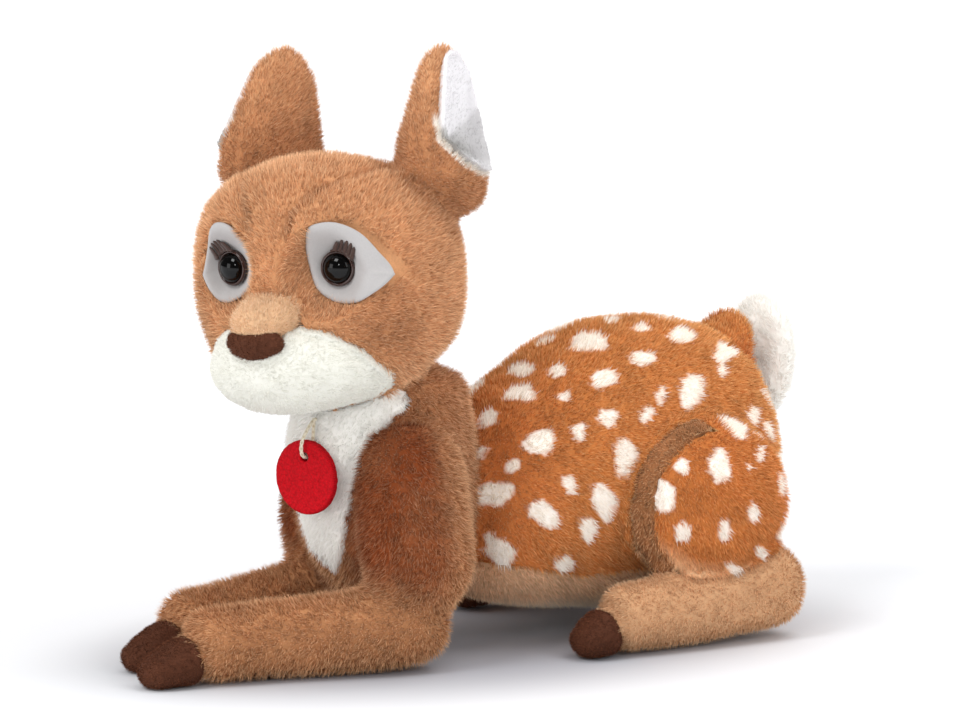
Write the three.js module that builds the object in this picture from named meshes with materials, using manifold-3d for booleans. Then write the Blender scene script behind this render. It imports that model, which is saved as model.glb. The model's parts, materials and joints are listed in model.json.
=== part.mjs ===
import * as THREE from 'three';
import { mergeVertices } from 'three/addons/utils/BufferGeometryUtils.js';
import Module from 'manifold-3d';

const wasm = await Module();
wasm.setup();

// A stuffed fawn that lies on its belly, facing -Y, its left side towards +X, in millimetres.
// Cloth and seams
const SKIN = 5;
const FELT = 1.6;
const GAP = 0.3;
const FLOOR_CUT = 0.5;

// Torso
const TORSO_LENGTH = 163;
const TORSO_LEAD = 14;
const BACK_HEIGHT = 129;
const TORSO_HALF_WIDTH = 53;
const TORSO_HALF_HEIGHT = 64.5;
const BELLY_LIFT = 3.5;

// Neck and chest
const NECK_SETBACK = 50;
const CHEST_HALF_WIDTH = 42;
const CHEST_HALF_DEPTH = 39;
const BIB_HALF_WIDTH = 26;
const BIB_OFFSET = 1;
const BIB_DROP = 76;

// Front legs
const SHOULDER_HEIGHT = 103;
const SHOULDER_SPREAD = 38;
const ARM_GIRTH = 26;
const FOREARM_REACH = 104;
const FOREARM_GIRTH = 17.5;
const FORE_STAGGER = 11;

// Hind legs
const HAUNCH_HEIGHT = 38;
const HAUNCH_LENGTH = 40;
const HAUNCH_THICKNESS = 42;
const HAUNCH_BAND = 15;
const FOOT_LENGTH = 100;
const FOOT_GIRTH = 19;
const FOOT_SPREAD = 60;
const FOOT_TUCK = 16;

// Hooves
const HOOF_LENGTH = 22.5;
const HIND_HOOF_LENGTH = 16;
const HOOF_HALF_WIDTH = 12.5;
const HOOF_HALF_HEIGHT = 10.5;

// Tail
const TAIL_HEIGHT = 56;
const TAIL_HALF_WIDTH = 20;
const TAIL_THICKNESS = 9;
const TAIL_FLEX = 10;

// Head, in a frame of its own that is turned towards the left side
const HEAD_TURN = 27;
const HEAD_ROLL = 4;
const HEAD_LIFT = 160.5;
const HEAD_SETFORWARD = 68.6;
const HEAD_HEIGHT = 108;
const HEAD_HALF_WIDTH = 58;
const HEAD_HALF_DEPTH = 54;
const MUZZLE_LENGTH = 56;
const MUZZLE_HALF_WIDTH = 40;
const MUZZLE_HALF_HEIGHT = 21;
const BRIDGE_HALF_WIDTH = 14;
const NOSE_HALF_WIDTH = 14;

// Eyes
const EYE_DIAMETER = 15;
const EYE_SPREAD = 25;
const EYE_HOLLOW = 21;
const EYE_YAW = 10;
const PATCH_HEIGHT_SHARE = 0.76;
const SHANK_DIAMETER = 4;
const WASHER_DIAMETER = 14;
const WASHER_THICKNESS = 1.6;
const LASH_LENGTH = 9;
const LASH_TILT = 52;

// Ears
const EAR_LENGTH = 61.5;
const EAR_HALF_WIDTH = 26;
const EAR_THICKNESS = 13;
const EAR_LINING = 1.8;
const EAR_FLEX = 10;
const EAR_OPENING_YAW = -7;
const EAR_LEAN_IN = 3;
const EAR_LEAN_BACK = 19;

// Tag
const TAG_DIAMETER = 31;
const TAG_THICKNESS = 4;
const TAG_HOLE = 4;
const TAG_TURN = 19;
const CORD_DIAMETER = 1.6;
const TAG_ASIDE = 12;
const TAG_FORWARD = 87.5;
const TAG_MIDDLE_HEIGHT = 79.5;

const DEG = Math.PI / 180;
const LEFT = 1;
const RIGHT = -1;
const SIDES = [['left', LEFT], ['right', RIGHT]];
const OVERRUN = 4 * TORSO_LENGTH;
const INNER_COARSENESS = 2.4;
const X_AXIS = new THREE.Vector3(1, 0, 0);
const IDENTITY = new THREE.Matrix4();

const cloth = (color, roughness = 0.95) => new THREE.MeshStandardMaterial({ color, roughness, metalness: 0 });
const TAN_PLUSH = cloth(0xc48c5f);
const BROWN_PLUSH = cloth(0xa46c42);
const SPOTTED_PLUSH = cloth(0xc87a3c);
const WHITE_PLUSH = cloth(0xefece6);
const WHITE_FELT = cloth(0xf2f2f0, 0.9);
const BROWN_VELOUR = cloth(0x4b2d23, 0.85);
const TAN_VELOUR = cloth(0xd09c70, 0.9);
const STUFFING = cloth(0xf4f1ea);
const EYE_GLOSS = new THREE.MeshStandardMaterial({ color: 0x050505, roughness: 0.08, metalness: 0 });
const WASHER_PLASTIC = new THREE.MeshStandardMaterial({ color: 0xe4e2dc, roughness: 0.5, metalness: 0 });
const LASH_FILM = cloth(0x2e1a12, 0.7);
const TAG_RED = cloth(0xcd1923, 0.8);
const CORD_CREAM = cloth(0xe8e2d0, 0.9);

// Solids and meshes

/** A solid from a closed geometry whose shared corners are merged. */
function toSolid(geometry) {
  const bare = geometry.clone();
  bare.deleteAttribute('normal');
  bare.deleteAttribute('uv');
  const merged = mergeVertices(bare, 1e-5);
  return new wasm.Manifold(new wasm.Mesh({
    numProp: 3,
    vertProperties: new Float32Array(merged.attributes.position.array),
    triVerts: new Uint32Array(merged.index.array),
  }));
}

/** The named mesh of a solid's largest piece, so that no crumb of a cut is left beside it. */
function namedMesh(name, solid, material) {
  const pieces = solid.decompose();
  pieces.sort((a, b) => b.volume() - a.volume());
  const { vertProperties, triVerts, numProp } = pieces[0].getMesh();
  if (numProp !== 3) throw new Error(`${name}: corners carry more than a place`);
  const geometry = new THREE.BufferGeometry();
  geometry.setAttribute('position', new THREE.BufferAttribute(new Float32Array(vertProperties), 3));
  geometry.setIndex(new THREE.BufferAttribute(new Uint32Array(triVerts), 1));
  geometry.computeVertexNormals();
  const mesh = new THREE.Mesh(geometry, material);
  mesh.name = name;
  return mesh;
}

/** Cuts every listed solid away from the first one. */
function cutBy(solid, ...cutters) {
  return cutters.reduce((left, cutter) => left.subtract(cutter), solid);
}

/** Joins the listed solids into one. */
function joined(...solids) {
  return solids.reduce((all, next) => all.add(next));
}

/**
 * A soft form: a spine of places with a half width and a half height at each, swept into a closed
 * solid with rounded ends. Its places and sizes are shares of its reach and its girth.
 */
class SoftForm {
  constructor({ origin, reach, wide, tall, shares, roundStart, roundEnd, across = X_AXIS,
    sides = 16, rings = 8, fullness = 2 }) {
    this.places = shares.map(([x, y, z]) => new THREE.Vector3(x, y, z).multiply(reach).add(origin));
    this.girths = shares.map((row) => new THREE.Vector3(row[3] * wide, row[4] * tall, 0));
    Object.assign(this, { roundStart, roundEnd, across, sides, rings, fullness });
  }

  /** Arc lengths of the rings, close together where the ends are round. */
  ringPlaces(length, inflate, rings) {
    const endRings = Math.max(2, Math.round(rings / 3));
    const start = [];
    const end = [];
    for (let i = 1; i <= endRings; i += 1) {
      const turn = (i / (endRings + 1)) * (Math.PI / 2);
      const share = 1 - Math.cos(turn);
      start.push(-inflate + share * (this.roundStart + inflate));
      end.unshift(length + inflate - share * (this.roundEnd + inflate));
    }
    const middle = [];
    const span = length - this.roundStart - this.roundEnd;
    for (let i = 0; i <= rings; i += 1) middle.push(this.roundStart + (span * i) / rings);
    return [...start, ...middle, ...end];
  }

  /** The solid, grown by a distance on every side, with its rings' places moved by a matrix. */
  solid(inflate = 0, matrix = IDENTITY, coarse = 1) {
    const spine = new THREE.CatmullRomCurve3(this.places, false, 'centripetal');
    const girth = new THREE.CatmullRomCurve3(this.girths, false, 'catmullrom', 0.4);
    const length = spine.getLength();
    const sides = Math.round(this.sides / coarse);
    const rings = Math.round(this.rings / coarse);
    const corners = [];
    const pole = (s) => {
      const u = THREE.MathUtils.clamp(s / length, 0, 1);
      return spine.getPointAt(u).addScaledVector(spine.getTangentAt(u), s - u * length);
    };
    const stops = this.ringPlaces(length, inflate, rings);
    corners.push(pole(-inflate));
    for (const s of stops) {
      const u = THREE.MathUtils.clamp(s / length, 0, 1);
      const along = spine.getTangentAt(u);
      const size = girth.getPoint(spine.getUtoTmapping(u));
      const wideWay = this.across.clone().addScaledVector(along, -this.across.dot(along)).normalize();
      const tallWay = along.clone().cross(wideWay);
      const toStart = Math.max(0, (this.roundStart - s) / (this.roundStart + inflate));
      const toEnd = Math.max(0, (s - length + this.roundEnd) / (this.roundEnd + inflate));
      const shrink = Math.sqrt(Math.max(0, 1 - Math.max(toStart, toEnd) ** 2));
      for (let k = 0; k < sides; k += 1) {
        const turn = (k / sides) * 2 * Math.PI;
        const c = Math.cos(turn);
        const d = Math.sin(turn);
        const power = 2 / this.fullness;
        const wideShare = Math.sign(c) * Math.abs(c) ** power * shrink;
        const tallShare = Math.sign(d) * Math.abs(d) ** power * shrink;
        corners.push(pole(s).addScaledVector(wideWay, wideShare * (size.x + inflate))
          .addScaledVector(tallWay, tallShare * (size.y + inflate)));
      }
    }
    corners.push(pole(length + inflate));
    const faces = [];
    const at = (ring, k) => 1 + ring * sides + (k % sides);
    const last = corners.length - 1;
    for (let k = 0; k < sides; k += 1) {
      faces.push(0, at(0, k + 1), at(0, k));
      for (let ring = 0; ring < stops.length - 1; ring += 1) {
        faces.push(at(ring, k), at(ring, k + 1), at(ring + 1, k));
        faces.push(at(ring, k + 1), at(ring + 1, k + 1), at(ring + 1, k));
      }
      faces.push(last, at(stops.length - 1, k), at(stops.length - 1, k + 1));
    }
    const places = corners.flatMap((corner) => corner.applyMatrix4(matrix).toArray());
    return new wasm.Manifold(new wasm.Mesh({
      numProp: 3,
      vertProperties: new Float32Array(places),
      triVerts: new Uint32Array(faces),
    }));
  }
}

/** A limb of several soft forms that are sewn as one skin. */
class JointForm {
  constructor(...forms) {
    this.forms = forms;
  }

  solid(inflate = 0, matrix = IDENTITY, coarse = 1) {
    return joined(...this.forms.map((form) => form.solid(inflate, matrix, coarse)));
  }
}

/** The cloth of a form, a wall of one skin's thickness. */
function skinOf(form, matrix = IDENTITY) {
  return form.solid(0, matrix).subtract(form.solid(-SKIN, matrix, INNER_COARSENESS));
}

/** The stuffing inside a form's cloth. */
function stuffingOf(form, matrix = IDENTITY) {
  return form.solid(-SKIN - 2 * GAP, matrix, INNER_COARSENESS);
}

/** A flat outline, pulled along its own normal from zero to a depth and set by a matrix. */
function slab(points, depth, matrix) {
  const geometry = new THREE.ExtrudeGeometry(new THREE.Shape(points), { depth, bevelEnabled: false });
  return toSolid(geometry.applyMatrix4(matrix));
}

/** Sets a slab that is drawn in the XZ plane, so that it runs from y to y + depth. */
function frontView(y, depth) {
  return new THREE.Matrix4().makeTranslation(0, y + depth, 0)
    .multiply(new THREE.Matrix4().makeRotationX(Math.PI / 2));
}

/** Sets a slab that is drawn in the YZ plane, so that it runs from x to x + depth. */
function sideView(x) {
  return new THREE.Matrix4().makeTranslation(x, 0, 0)
    .multiply(new THREE.Matrix4().makeBasis(
      new THREE.Vector3(0, 1, 0), new THREE.Vector3(0, 0, 1), new THREE.Vector3(1, 0, 0)));
}

const vec2 = (x, y) => new THREE.Vector2(x, y);
const vec3 = (x, y, z) => new THREE.Vector3(x, y, z);

/** An ellipse outline with a number of sides. */
function ellipse(cx, cy, rx, ry, sides) {
  return Array.from({ length: sides }, (_, k) => {
    const turn = (k / sides) * 2 * Math.PI;
    return vec2(cx + rx * Math.cos(turn), cy + ry * Math.sin(turn));
  });
}

// Everything below the surface that the toy lies on
const floorBlock = toSolid(new THREE.BoxGeometry(OVERRUN, OVERRUN, OVERRUN)
  .translate(0, 0, -OVERRUN / 2));

// Torso
const torsoShares = [
  [0, 0.00, 0.51, 0.64, 0.65],
  [0, 0.145, 0.478, 0.83, 0.75],
  [0, 0.265, 0.480, 0.91, 0.84],
  [0, 0.45, 0.518, 0.98, 0.975],
  [0, 0.63, 0.527, 1.00, 1.00],
  [0, 0.83, 0.512, 0.93, 0.87],
  [0, 1.00, 0.488, 0.80, 0.68],
];
const torso = new SoftForm({
  origin: vec3(0, -TORSO_LEAD, 0),
  reach: vec3(0, TORSO_LENGTH, BACK_HEIGHT + BELLY_LIFT / 2),
  wide: TORSO_HALF_WIDTH,
  tall: TORSO_HALF_HEIGHT,
  shares: torsoShares,
  roundStart: TORSO_LENGTH * 0.12,
  roundEnd: TORSO_LENGTH * 0.22,
  sides: 20,
  rings: 8,
});
const torsoY = (share) => -TORSO_LEAD + share * TORSO_LENGTH;

// Neck and chest
const neckHeight = HEAD_LIFT - HEAD_HEIGHT * 0.449;
const neckShares = [
  [0, -0.82, 1.12, 0.72, 0.94],
  [0, -0.88, 0.95, 0.86, 1.06],
  [0, -0.89, 0.78, 0.94, 1.055],
  [0, -0.86, 0.57, 1.00, 1.00],
  [0, -0.76, 0.36, 0.92, 0.84],
  [0, -0.68, 0.18, 0.74, 0.64],
  [0, -0.64, 0.07, 0.58, 0.50],
];
const neck = new SoftForm({
  origin: vec3(0, 0, 0),
  reach: vec3(0, NECK_SETBACK, neckHeight),
  wide: CHEST_HALF_WIDTH,
  tall: CHEST_HALF_DEPTH,
  shares: neckShares,
  roundStart: neckHeight * 0.06,
  roundEnd: neckHeight * 0.12,
  sides: 14,
  rings: 3,
});

// Front legs: an upper arm that stands beside the chest and a forearm that lies forward
const armShares = [
  [0.62, -0.94, 1.02, 0.66, 0.84],
  [0.92, -1.04, 0.76, 0.80, 1.00],
  [1.06, -1.04, 0.46, 0.82, 1.00],
  [1.08, -0.97, 0.20, 0.74, 0.82],
];
const forearmShares = [
  [1.08, 0.06, 1.30, 1.14, 1.16],
  [1.00, -0.16, 1.10, 1.10, 1.08],
  [0.74, -0.52, 0.98, 1.00, 1.00],
  [0.50, -0.86, 0.93, 0.94, 0.94],
  [0.46, -1.00, 0.92, 0.92, 0.93],
];
const forearmStart = NECK_SETBACK * 0.88;
function foreleg(side) {
  const setBack = side === LEFT ? 0 : FORE_STAGGER;
  const arm = new SoftForm({
    origin: vec3(0, setBack, 0),
    reach: vec3(side * SHOULDER_SPREAD, NECK_SETBACK, SHOULDER_HEIGHT),
    wide: ARM_GIRTH,
    tall: ARM_GIRTH,
    shares: armShares,
    roundStart: ARM_GIRTH * 0.8,
    roundEnd: ARM_GIRTH * 0.7,
    sides: 12,
    rings: 4,
  });
  const forearm = new SoftForm({
    origin: vec3(0, setBack - forearmStart, 0),
    reach: vec3(side * SHOULDER_SPREAD, FOREARM_REACH, FOREARM_GIRTH),
    wide: FOREARM_GIRTH,
    tall: FOREARM_GIRTH,
    shares: forearmShares,
    roundStart: FOREARM_GIRTH * 0.95,
    roundEnd: FOREARM_GIRTH * 0.4,
    sides: 12,
    rings: 5,
  });
  return new JointForm(arm, forearm);
}

// Hooves: one soft wedge each, high at the cuff and low at the toe
const hoofShares = [
  [0, 0.00, 1.00, 0.96, 1.06],
  [0, -0.30, 0.98, 1.00, 1.02],
  [0, -0.66, 0.78, 0.94, 0.84],
  [0, -1.00, 0.53, 0.78, 0.60],
  [0, -1.20, 0.40, 0.55, 0.46],
];
function hoof(centre, cuffY, length, heading) {
  return new SoftForm({
    origin: vec3(centre, cuffY, 0),
    reach: vec3(1, length, HOOF_HALF_HEIGHT * 1.04 - FLOOR_CUT),
    wide: HOOF_HALF_WIDTH,
    tall: HOOF_HALF_HEIGHT,
    shares: hoofShares.map((row) => [heading * row[1] * length, ...row.slice(1)]),
    roundStart: HOOF_HALF_HEIGHT * 0.5,
    roundEnd: HOOF_HALF_HEIGHT * 0.45,
    sides: 14,
    rings: 3,
  });
}

// Haunches: a thick round pillow on each flank, with a gusset band along its front edge
const haunchShares = [
  [0.00, 0, 0, 0.98, 0.98],
  [0.45, 0, 0, 1.00, 1.00],
  [0.80, 0, 0, 0.98, 0.98],
  [1.00, 0, 0, 0.92, 0.92],
];
const haunchY = torsoY(0.60);
const haunchZ = BACK_HEIGHT * 0.455;
const haunchRoot = TORSO_HALF_WIDTH * 0.72;
function haunch(side) {
  return new SoftForm({
    origin: vec3(side * haunchRoot, haunchY, haunchZ),
    reach: vec3(side * HAUNCH_THICKNESS, 1, 1),
    wide: HAUNCH_LENGTH,
    tall: HAUNCH_HEIGHT,
    shares: haunchShares,
    roundStart: HAUNCH_THICKNESS * 0.2,
    roundEnd: HAUNCH_THICKNESS * 0.62,
    across: vec3(0, 1, 0),
    sides: 16,
    rings: 3,
  });
}

/** The sector of a haunch's side wall that is its band, grown by a seam gap. */
function bandRegion(side, grow) {
  const width = HAUNCH_BAND + 2 * grow;
  const reach = 2 * HAUNCH_LENGTH;
  const sector = [
    vec2(haunchY + grow, haunchZ),
    vec2(haunchY - HAUNCH_LENGTH * 0.10 + grow, haunchZ + reach),
    vec2(haunchY - reach, haunchZ + reach),
    vec2(haunchY - reach, haunchZ - reach),
    vec2(haunchY - HAUNCH_LENGTH * 0.9 + grow, haunchZ - reach),
  ];
  const inner = haunchRoot + HAUNCH_THICKNESS * 0.2 - grow;
  return slab(sector, width, sideView(side === LEFT ? inner : -inner - width));
}

// Hind feet: each lies forward from its heel, under its haunch
const footShares = [
  [1.00, 0.00, 1.36, 1.05, 1.22],
  [1.00, -0.24, 1.12, 1.00, 1.06],
  [1.02, -0.58, 0.90, 0.88, 0.90],
  [1.00, -1.00, 0.80, 0.80, 0.81],
];
const heelY = torsoY(0.868);
const footLength = (side) => FOOT_LENGTH - (side === LEFT ? 0 : FOOT_TUCK);
const footCuffY = (side) => heelY - footLength(side);
function hindFoot(side) {
  return new SoftForm({
    origin: vec3(0, heelY, 0),
    reach: vec3(side * FOOT_SPREAD, footLength(side), FOOT_GIRTH - FLOOR_CUT / 2),
    wide: FOOT_GIRTH,
    tall: FOOT_GIRTH,
    shares: footShares,
    roundStart: FOOT_GIRTH,
    roundEnd: FOOT_GIRTH * 0.35,
    sides: 12,
    rings: 6,
  });
}

// Tail: a tan leaf in front and a fuller white leaf behind it, hinged at the rump
const tailRootY = torsoY(0.905);
const tailRootZ = BACK_HEIGHT * 0.80;
const tailTopShares = [
  [0, 0.00, 0.00, 0.62, 0.95],
  [0, -0.05, 0.18, 0.92, 0.95],
  [0, -0.05, 0.34, 0.96, 0.85],
  [0, 0.02, 0.50, 0.55, 0.60],
];
const tailUnderShares = [
  [0, 0.28, -0.42, 0.30, 0.50],
  [0, 0.32, -0.15, 0.75, 1.00],
  [0, 0.33, 0.15, 0.95, 1.15],
  [0, 0.28, 0.42, 0.90, 0.95],
  [0, 0.20, 0.58, 0.50, 0.60],
];
const tailReach = vec3(1, TAIL_HEIGHT, TAIL_HEIGHT);
const tailTop = new SoftForm({
  origin: vec3(0, tailRootY, tailRootZ),
  reach: tailReach,
  wide: TAIL_HALF_WIDTH,
  tall: TAIL_THICKNESS,
  shares: tailTopShares,
  roundStart: TAIL_THICKNESS,
  roundEnd: TAIL_THICKNESS,
  sides: 10,
  rings: 3,
});
const tailUnder = new SoftForm({
  origin: vec3(0, tailRootY, tailRootZ),
  reach: tailReach,
  wide: TAIL_HALF_WIDTH,
  tall: TAIL_THICKNESS,
  shares: tailUnderShares,
  roundStart: TAIL_THICKNESS * 0.8,
  roundEnd: TAIL_THICKNESS * 0.9,
  sides: 10,
  rings: 4,
});
const tailHinge = vec3(0, tailRootY, tailRootZ);

/** The room that a form sweeps as it flexes about a hinge, with a running gap. */
function sweptRoom(form, hinge, axis, flex, flexShares, matrix = IDENTITY) {
  return joined(...flexShares.map((share) => {
    const turn = new THREE.Matrix4().makeTranslation(hinge.x, hinge.y, hinge.z)
      .multiply(new THREE.Matrix4().makeRotationAxis(axis, share * flex * DEG))
      .multiply(new THREE.Matrix4().makeTranslation(-hinge.x, -hinge.y, -hinge.z));
    return form.solid(1.3 * GAP, matrix.clone().multiply(turn));
  }));
}

// Head, drawn about its own centre
const headPlace = new THREE.Matrix4().makeTranslation(0, -HEAD_SETFORWARD, HEAD_LIFT)
  .multiply(new THREE.Matrix4().makeRotationZ(HEAD_TURN * DEG))
  .multiply(new THREE.Matrix4().makeRotationY(-HEAD_ROLL * DEG));
const headShares = [
  [0, 0.050, -0.50, 0.62, 0.66],
  [0, 0.010, -0.29, 0.88, 0.92],
  [0, 0.000, -0.08, 1.00, 1.00],
  [0, 0.000, 0.12, 0.99, 0.98],
  [0, 0.015, 0.30, 0.88, 0.89],
  [0, 0.040, 0.475, 0.66, 0.70],
];
const skull = new SoftForm({
  origin: vec3(0, 0, 0),
  reach: vec3(0, HEAD_HEIGHT, HEAD_HEIGHT),
  wide: HEAD_HALF_WIDTH,
  tall: HEAD_HALF_DEPTH,
  shares: headShares,
  roundStart: HEAD_HEIGHT * 0.22,
  roundEnd: HEAD_HEIGHT * 0.20,
  sides: 20,
  rings: 6,
});

// Muzzle, bridge pad and nose, each seated on the one behind it
const muzzleShares = [
  [0, 0.06, -1.84, 0.88, 0.64],
  [0, -0.44, -1.68, 0.96, 0.88],
  [0, -0.85, -1.52, 0.84, 0.98],
  [0, -1.14, -1.50, 0.62, 0.80],
];
const muzzle = new SoftForm({
  origin: vec3(0, 0, 0),
  reach: vec3(0, MUZZLE_LENGTH, MUZZLE_HALF_HEIGHT),
  wide: MUZZLE_HALF_WIDTH,
  tall: MUZZLE_HALF_HEIGHT,
  shares: muzzleShares,
  roundStart: MUZZLE_LENGTH * 0.2,
  roundEnd: MUZZLE_LENGTH * 0.34,
  sides: 16,
  rings: 4,
});
const bridgeShares = [
  [0, -0.66, -0.50, 0.98, 0.78],
  [0, -0.94, -0.55, 0.98, 0.66],
  [0, -1.20, -0.68, 0.90, 0.50],
];
const bridge = new SoftForm({
  origin: vec3(0, 0, 0),
  reach: vec3(0, MUZZLE_LENGTH, MUZZLE_HALF_HEIGHT),
  wide: BRIDGE_HALF_WIDTH,
  tall: BRIDGE_HALF_WIDTH,
  shares: bridgeShares,
  roundStart: BRIDGE_HALF_WIDTH * 0.6,
  roundEnd: BRIDGE_HALF_WIDTH * 0.75,
  sides: 12,
  rings: 3,
});
const noseShares = [
  [0, -1.00, -0.92, 1.00, 0.54],
  [0, -1.10, -0.97, 1.00, 0.62],
  [0, -1.22, -1.03, 0.84, 0.54],
];
const nose = new SoftForm({
  origin: vec3(0, 0, 0),
  reach: vec3(0, MUZZLE_LENGTH, MUZZLE_HALF_HEIGHT),
  wide: NOSE_HALF_WIDTH,
  tall: NOSE_HALF_WIDTH,
  shares: noseShares,
  roundStart: NOSE_HALF_WIDTH * 0.3,
  roundEnd: NOSE_HALF_WIDTH * 0.5,
  sides: 12,
  rings: 3,
});

// Eyes: a hollow in the face, an almond of felt, a domed eye on a shank and the washer that locks it
const eyeZ = HEAD_HEIGHT * 0.065;
const eyeSurfaceY = -HEAD_HALF_DEPTH * 0.58;
function eyeHollow(side) {
  return new SoftForm({
    origin: vec3(side * EYE_SPREAD * 1.08, eyeSurfaceY - EYE_HOLLOW * 1.22, eyeZ - EYE_HOLLOW),
    reach: vec3(1, 1, EYE_HOLLOW),
    wide: EYE_HOLLOW,
    tall: EYE_HOLLOW * 1.22,
    shares: [[0, 0, 0, 1, 1], [0, 0, 1, 1, 1], [0, 0, 2, 1, 1]],
    roundStart: EYE_HOLLOW * 0.99,
    roundEnd: EYE_HOLLOW * 0.99,
    sides: 14,
    rings: 1,
  });
}
const almondShares = [
  [0.56, 0.10], [0.60, 0.52], [0.80, 0.86], [1.14, 0.90], [1.56, 0.52],
  [1.97, -0.20], [1.74, -0.42], [1.40, -0.60], [0.96, -0.62], [0.68, -0.42],
];
function almond(side, grow) {
  const points = almondShares.map(([x, z]) => {
    const px = EYE_SPREAD * x;
    const pz = eyeZ + EYE_SPREAD * PATCH_HEIGHT_SHARE * z;
    const middle = vec2(EYE_SPREAD * 1.05, eyeZ);
    const away = vec2(px, pz).sub(middle);
    return middle.addScaledVector(away, 1 + grow / away.length());
  });
  const outline = points.map((point) => vec2(side * point.x, point.y));
  return side === LEFT ? outline : outline.reverse();
}
const eyeFrame = (side) => new THREE.Matrix4()
  .makeTranslation(side * EYE_SPREAD, eyeSurfaceY - FELT, eyeZ)
  .multiply(new THREE.Matrix4().makeRotationZ(side * EYE_YAW * DEG))
  .multiply(new THREE.Matrix4().makeRotationX(Math.PI / 2));
const eyeRadius = EYE_DIAMETER / 2;
const shankRadius = SHANK_DIAMETER / 2;
const shankLength = SKIN + WASHER_THICKNESS + 3 * FELT;
const domeRise = eyeRadius * 0.72;
function eyeSolid(side) {
  const profile = [vec2(0, -shankLength), vec2(shankRadius, -shankLength), vec2(shankRadius, 0),
    vec2(eyeRadius * 0.9, 0)];
  const steps = 4;
  for (let i = 0; i <= steps; i += 1) {
    const turn = (i / steps) * (Math.PI / 2);
    profile.push(vec2(eyeRadius * Math.cos(turn), FELT * 0.6 + domeRise * Math.sin(turn)));
  }
  profile[profile.length - 1].x = 0;
  const turned = new THREE.LatheGeometry(profile, 14);
  turned.rotateX(Math.PI / 2);
  return toSolid(turned.applyMatrix4(eyeFrame(side)));
}
/** A straight round bore or bar along an eye's own axis. */
function eyeBar(side, radius, from, to) {
  const bar = new THREE.CylinderGeometry(radius, radius, to - from, 10);
  bar.rotateX(Math.PI / 2);
  bar.translate(0, 0, (from + to) / 2);
  return toSolid(bar.applyMatrix4(eyeFrame(side)));
}
const washerFront = -SKIN - FELT - 3 * GAP;
const washerBack = washerFront - WASHER_THICKNESS;
const lashLift = FELT * 2.5;

/** The lashes: four slim leaves in a fan, joined by a strip that is trapped behind the eye. */
function lashSolid(side) {
  const lashShares = [[-24, 0.85], [2, 1.00], [28, 0.95], [52, 0.80]];
  const sheets = lashShares.map(([lean, share]) => {
    const root = eyeRadius * 1.04;
    const tip = root + LASH_LENGTH * share;
    const half = LASH_LENGTH * 0.14;
    const leaf = new THREE.Shape([vec2(-half, root), vec2(half, root),
      vec2(half * 0.8, (root + tip) / 2), vec2(0, tip), vec2(-half * 0.8, (root + tip) / 2)]);
    const sheet = new THREE.ExtrudeGeometry(leaf, { depth: FELT * 0.4, bevelEnabled: false });
    sheet.translate(0, -root, 0).rotateX(LASH_TILT * DEG).translate(0, root, 0);
    return sheet.rotateZ(-side * lean * DEG);
  });
  const bandTurns = [-36, -12, 12, 36, 60].map((lean) => (90 - side * lean) * DEG);
  const arc = (radius) => bandTurns.map((turn) => vec2(Math.cos(turn) * radius, Math.sin(turn) * radius));
  const outer = arc(eyeRadius * 1.12);
  const inner = arc(eyeRadius * 1.01);
  const strip = new THREE.Shape([...outer, ...inner.reverse()]);
  sheets.push(new THREE.ExtrudeGeometry(strip, { depth: FELT * 0.4, bevelEnabled: false }));
  const place = eyeFrame(side).multiply(new THREE.Matrix4().makeTranslation(0, 0, lashLift));
  return joined(...sheets.map((sheet) => toSolid(sheet.applyMatrix4(place))));
}

// Ears: a cupped leaf on a round root, with a lining in its cup
const earHinge = (side) => vec3(side * HEAD_HALF_WIDTH * 0.74, HEAD_HALF_DEPTH * 0.38, HEAD_HEIGHT * 0.32);
const earShares = [
  [0, 0.02, -0.22, 0.68, 0.92],
  [0, 0.04, 0.00, 1.12, 1.40],
  [0, 0.05, 0.22, 1.22, 1.44],
  [0, 0.03, 0.50, 1.02, 1.10],
  [0, 0.01, 0.76, 0.80, 0.80],
  [0, -0.02, 1.00, 0.50, 0.46],
];
const earFrame = (side) => {
  const hinge = earHinge(side);
  return new THREE.Matrix4().makeTranslation(hinge.x, hinge.y, hinge.z)
    .multiply(new THREE.Matrix4().makeRotationZ(-side * EAR_OPENING_YAW * DEG))
    .multiply(new THREE.Matrix4().makeRotationY(-side * EAR_LEAN_IN * DEG))
    .multiply(new THREE.Matrix4().makeRotationX(-EAR_LEAN_BACK * DEG));
};
const ear = new SoftForm({
  origin: vec3(0, 0, 0),
  reach: vec3(EAR_LENGTH, EAR_LENGTH, EAR_LENGTH),
  wide: EAR_HALF_WIDTH,
  tall: EAR_THICKNESS,
  shares: earShares,
  roundStart: EAR_THICKNESS * 0.9,
  roundEnd: EAR_HALF_WIDTH * 0.5,
  across: vec3(0, 1, 0),
  sides: 11,
  rings: 3,
});
const cupShares = [
  [0.60, 0.06, 0.10, 0.72, 1.00],
  [0.56, 0.06, 0.30, 0.98, 1.26],
  [0.50, 0.04, 0.54, 0.82, 1.06],
  [0.48, 0.02, 0.78, 0.64, 0.82],
  [0.44, -0.01, 0.96, 0.38, 0.56],
];
function earCup(side) {
  return new SoftForm({
    origin: vec3(0, 0, 0),
    reach: vec3(side * EAR_THICKNESS * 1.7, EAR_LENGTH, EAR_LENGTH),
    wide: EAR_HALF_WIDTH,
    tall: EAR_THICKNESS,
    shares: cupShares,
    roundStart: EAR_THICKNESS * 0.7,
    roundEnd: EAR_THICKNESS * 0.5,
    across: vec3(0, 1, 0),
    sides: 10,
    rings: 4,
  });
}

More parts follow.
